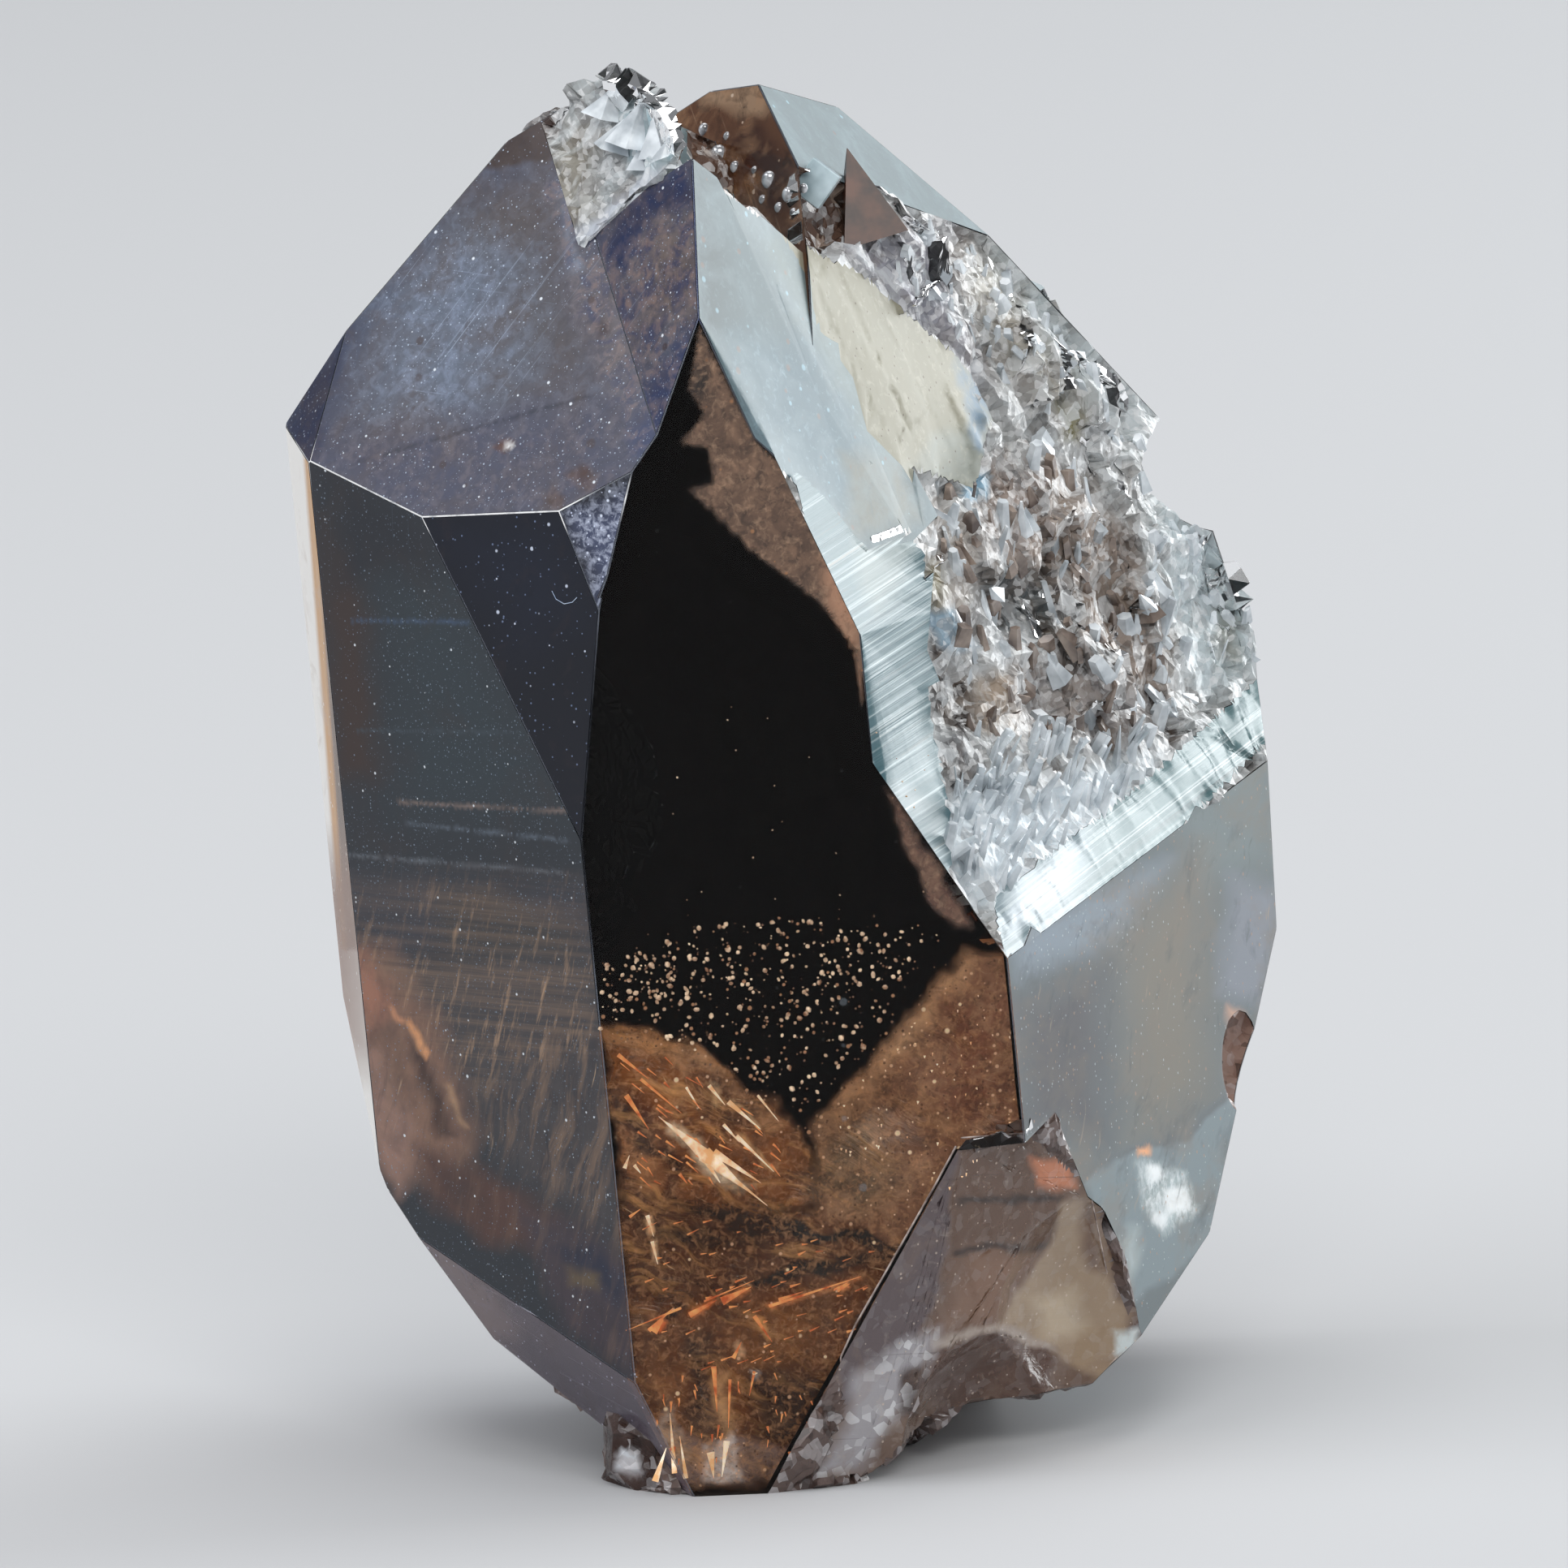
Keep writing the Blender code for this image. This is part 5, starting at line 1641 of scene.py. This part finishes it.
for target, corners, count, seed, way, long_px in [
    (amber_glowing_glints, [(750, 1285), (860, 1310), (960, 1400), (940, 1480), (780, 1460)], 46, 41, (1.0, 0.85), 16),
    (pale_glowing_glints, [(1010, 1390), (1180, 1200), (1250, 1200), (1260, 1390), (1110, 1520)], 60, 42, (0.1, 1.0), 4),
    (amber_glowing_glints, [(780, 1490), (1080, 1540), (1040, 1690), (790, 1690)], 60, 43, (1.0, -0.35), 14),
    (amber_glowing_glints, [(790, 1690), (1020, 1690), (1000, 1800), (795, 1800)], 34, 44, (0.05, 1.0), 14),
]:
    for px, py in pixels_in(corners, count, seed):
        reach = rng.uniform(0.4, 1.0) * long_px
        lean = rng.uniform(-0.3, 0.3)
        glowing_glint(target, (px, py), (px + (way[0] + lean) * reach, py + (way[1] - lean) * reach),
             rng.uniform(0.04, 0.11))
# Painted highlights: these finishes glow, so the slivers shine as glints of light caught inside the stone.
pale_gleam = speckled("pale_gleam", (222, 170, 116), (255, 240, 214), 0.3, 2400.0, glow=0.5)
amber_gleam = speckled("amber_gleam", (190, 84, 30), (255, 176, 104), 0.3, 2400.0, glow=0.4)
finished("pale_glowing_glints", pale_glowing_glints, pale_gleam)
finished("amber_glowing_glints", amber_glowing_glints, amber_gleam)

# %% Pale edge of the chip, a painted highlight
# The pale ribs along the rim of the chip paint a highlight where the rim catches the light.
chip_edge = bmesh.new()
CHIP_EDGE = [(1178, 1412), (1150, 1464), (1118, 1520), (1084, 1580), (1054, 1632), (1036, 1672), (1034, 1730)]
for start, end in zip(CHIP_EDGE, CHIP_EDGE[1:]):
    rib(chip_edge, start, end, 0.07, 0.06)
for start, end in [((1184, 1402), (1262, 1396)), ((1345, 1478), (1364, 1568)), ((1372, 1580), (1388, 1612))]:
    rib(chip_edge, start, end, 0.06, 0.05)
finished("chip_edge", chip_edge, speckled("chip_rim_painted_highlight", (112, 94, 88), (206, 190, 182), 0.25, 1800.0))

# %% Splinters on the contact crust
PLANES["contact slope"] = (66, 16.3, 9.51)
PLANES["contact wall"] = (63.2, 2.4, 7.6)
PLANES["contact shelf"] = (66.2, 23.8, 7.5)
crust_piece = bpy.data.objects["contact_crust"]
crust_points = np.array([v.co for v in crust_piece.data.vertices])
crust_normals = np.array([v.normal for v in crust_piece.data.vertices])
crust_pixels = seen_at(crust_points)
facing_us = crust_normals @ np.array(SIGHT) < -0.05


def splinters(name, corners, count, seed, width, height, axis, material):
    """Small five-sided prisms that stand in the crust and lean one way."""
    picks = np.flatnonzero(facing_us & (inside(crust_pixels, corners, 1) > 0.5))
    draw = np.random.default_rng(seed)
    edit = bmesh.new()
    for index in draw.choice(picks, size=min(count, len(picks)), replace=False):
        out = Vector(crust_normals[index])
        lean = (Vector(axis) + out * 0.5 + Vector(draw.uniform(-0.35, 0.35, 3))).normalized()
        wide = draw.uniform(*width) * MM
        tall = draw.uniform(*height) * MM
        turn = lean.to_track_quat("Z", "Y").to_matrix().to_4x4() @ Matrix.Rotation(draw.uniform(0, 6), 4, "Z")
        squash = Matrix.Diagonal((1, draw.uniform(0.4, 0.9), 1, 1))
        bmesh.ops.create_cone(
            edit,
            cap_ends=True,
            segments=int(draw.integers(4, 7)),
            radius1=wide,
            radius2=wide * draw.uniform(0.1, 0.8),
            depth=tall,
            matrix=Matrix.Translation(Vector(crust_points[index])) @ turn @ squash,
        )
    return finished(name, edit, material)


pale_splinter = speckled("pale_splinter", (176, 184, 190), (244, 250, 254), 0.18, 900.0, coat=0.5)
brown_splinter = speckled("brown_splinter", (84, 70, 64), (172, 156, 144), 0.2, 900.0, coat=0.4)
splinters("pale_splinters_low", [(1180, 930), (1440, 900), (1300, 1090), (1190, 1110), (1165, 1060)],
          120, 21, (0.16, 0.42), (1.2, 2.8), (0.15, -0.2, 1.0), pale_splinter)
splinters("pale_splinters_right", [(1380, 560), (1540, 660), (1565, 830), (1420, 880)],
          40, 22, (0.2, 0.5), (0.5, 1.2), (-0.3, -0.4, 0.8), pale_splinter)
splinters("pale_splinters_top", [(1060, 300), (1200, 270), (1420, 480), (1400, 560), (1230, 470)],
          80, 23, (0.15, 0.45), (0.4, 1.1), (-0.3, -0.4, 0.8), pale_splinter)
splinters("brown_splinters_middle", [(1140, 620), (1290, 560), (1440, 760), (1430, 900), (1200, 920)],
          70, 24, (0.2, 0.6), (0.6, 1.6), (-0.4, -0.4, 0.8), brown_splinter)
splinters("pale_splinters_middle", [(1140, 600), (1290, 540), (1440, 700), (1430, 900), (1200, 920)],
          70, 25, (0.2, 0.5), (0.6, 1.8), (-0.4, -0.4, 0.8), pale_splinter)

# %% Pyramids on the broken tip
pyramids = bmesh.new()
for px, py, wide, tall, turn_by, lean_by in [(786, 152, 1.1, 1.7, 20, 10), (808, 168, 0.9, 1.4, 50, -8),
                                             (764, 166, 0.9, 1.2, 70, 16), (822, 188, 0.7, 1.0, 10, 4),
                                             (792, 192, 0.7, 0.9, 40, -4), (748, 128, 0.9, 1.0, 30, 14)]:
    bmesh.ops.create_cone(
        pyramids, cap_ends=True, segments=5, radius1=wide * MM, radius2=0.03 * MM, depth=tall * MM,
        matrix=Matrix.Translation(on_body(px, py)[0])
        @ Matrix.Rotation(math.radians(lean_by), 4, "Y") @ Matrix.Rotation(math.radians(turn_by), 4, "Z"),
    )
finished("tip_pyramids", pyramids, pale_splinter)

# %% Crystals and beads near the top
brown_glassy = speckled("brown_glassy", (38, 20, 15), (104, 64, 46), 0.3, 900.0)
cyan_facet = speckled("cyan_facet", (150, 172, 180), (214, 232, 238), 0.2, 700.0, coat=0.5)
pyramid = bmesh.new()
pyramid_foot = on_face(1056, 268, "contact slope")
bmesh.ops.create_cone(
    pyramid, cap_ends=True, segments=4, radius1=1.75 * MM, radius2=0.02 * MM, depth=3.4 * MM,
    matrix=Matrix.Translation(pyramid_foot + Vector((0.1, 0.3, 0.9)) * MM)
    @ Matrix.Rotation(math.radians(-16), 4, "Y") @ Matrix.Rotation(math.radians(52), 4, "Z"),
)
finished("brown_pyramid", pyramid, brown_glassy)
facet = bmesh.new()
bmesh.ops.create_cube(
    facet, size=1,
    matrix=Matrix.Translation(on_face(1006, 228, "contact slope") + Vector((0, -0.2, 0.1)) * MM)
    @ Matrix.Rotation(math.radians(35), 4, "Y") @ Matrix.Rotation(math.radians(-14), 4, "Z")
    @ Matrix.Diagonal((1.25 * MM, 0.5 * MM, 1.45 * MM, 1)),
)
bmesh.ops.bevel(facet, geom=list(facet.edges), affect="EDGES", offset=0.04 * MM, segments=1, profile=0.5,
                material=-1)
finished("cyan_facet_crystal", facet, cyan_facet)
beads = bmesh.new()
for px, py, radius in [(948, 222, 0.30), (972, 240, 0.26), (960, 256, 0.18), (990, 232, 0.16),
                       (886, 192, 0.36), (868, 160, 0.22), (906, 206, 0.20), (930, 210, 0.14),
                       (858, 186, 0.20), (896, 168, 0.15), (978, 262, 0.15), (940, 246, 0.16)]:
    bmesh.ops.create_icosphere(
        beads, subdivisions=3, radius=radius * MM,
        matrix=Matrix.Translation(on_face(px, py, "amber tip face"))
        @ Matrix.Diagonal((1, 0.7, 1.2, 1)),
    )
bead_finish = speckled("bright_bead", (60, 56, 58), (220, 222, 226), 0.06, 2200.0, coat=1.0, metal=0.4)
finished("top_beads", beads, bead_finish, smooth=True)

# %% A fibre of lint
fibre = bpy.data.curves.new("lint_fibre", "CURVE")
fibre.dimensions = "3D"
fibre.bevel_depth = 0.014 * MM
fibre.bevel_resolution = 2
spline = fibre.splines.new("NURBS")
spline.use_endpoint_u = True
FIBRE_PIXELS = [(681, 728), (686, 738), (696, 744), (706, 742), (712, 736)]
spline.points.add(len(FIBRE_PIXELS) - 1)
for point, (px, py) in zip(spline.points, FIBRE_PIXELS):
    point.co = (*(on_body(px, py)[0] + facing("dark wedge") * 0.05 * MM), 1)
fibre_piece = bpy.data.objects.new("lint_fibre", fibre)
bpy.context.scene.collection.objects.link(fibre_piece)
fibre.materials.append(speckled("lint", (150, 170, 200), (220, 230, 245), 0.6, 3000.0))
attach(fibre_piece, "root")
print("fibre made")
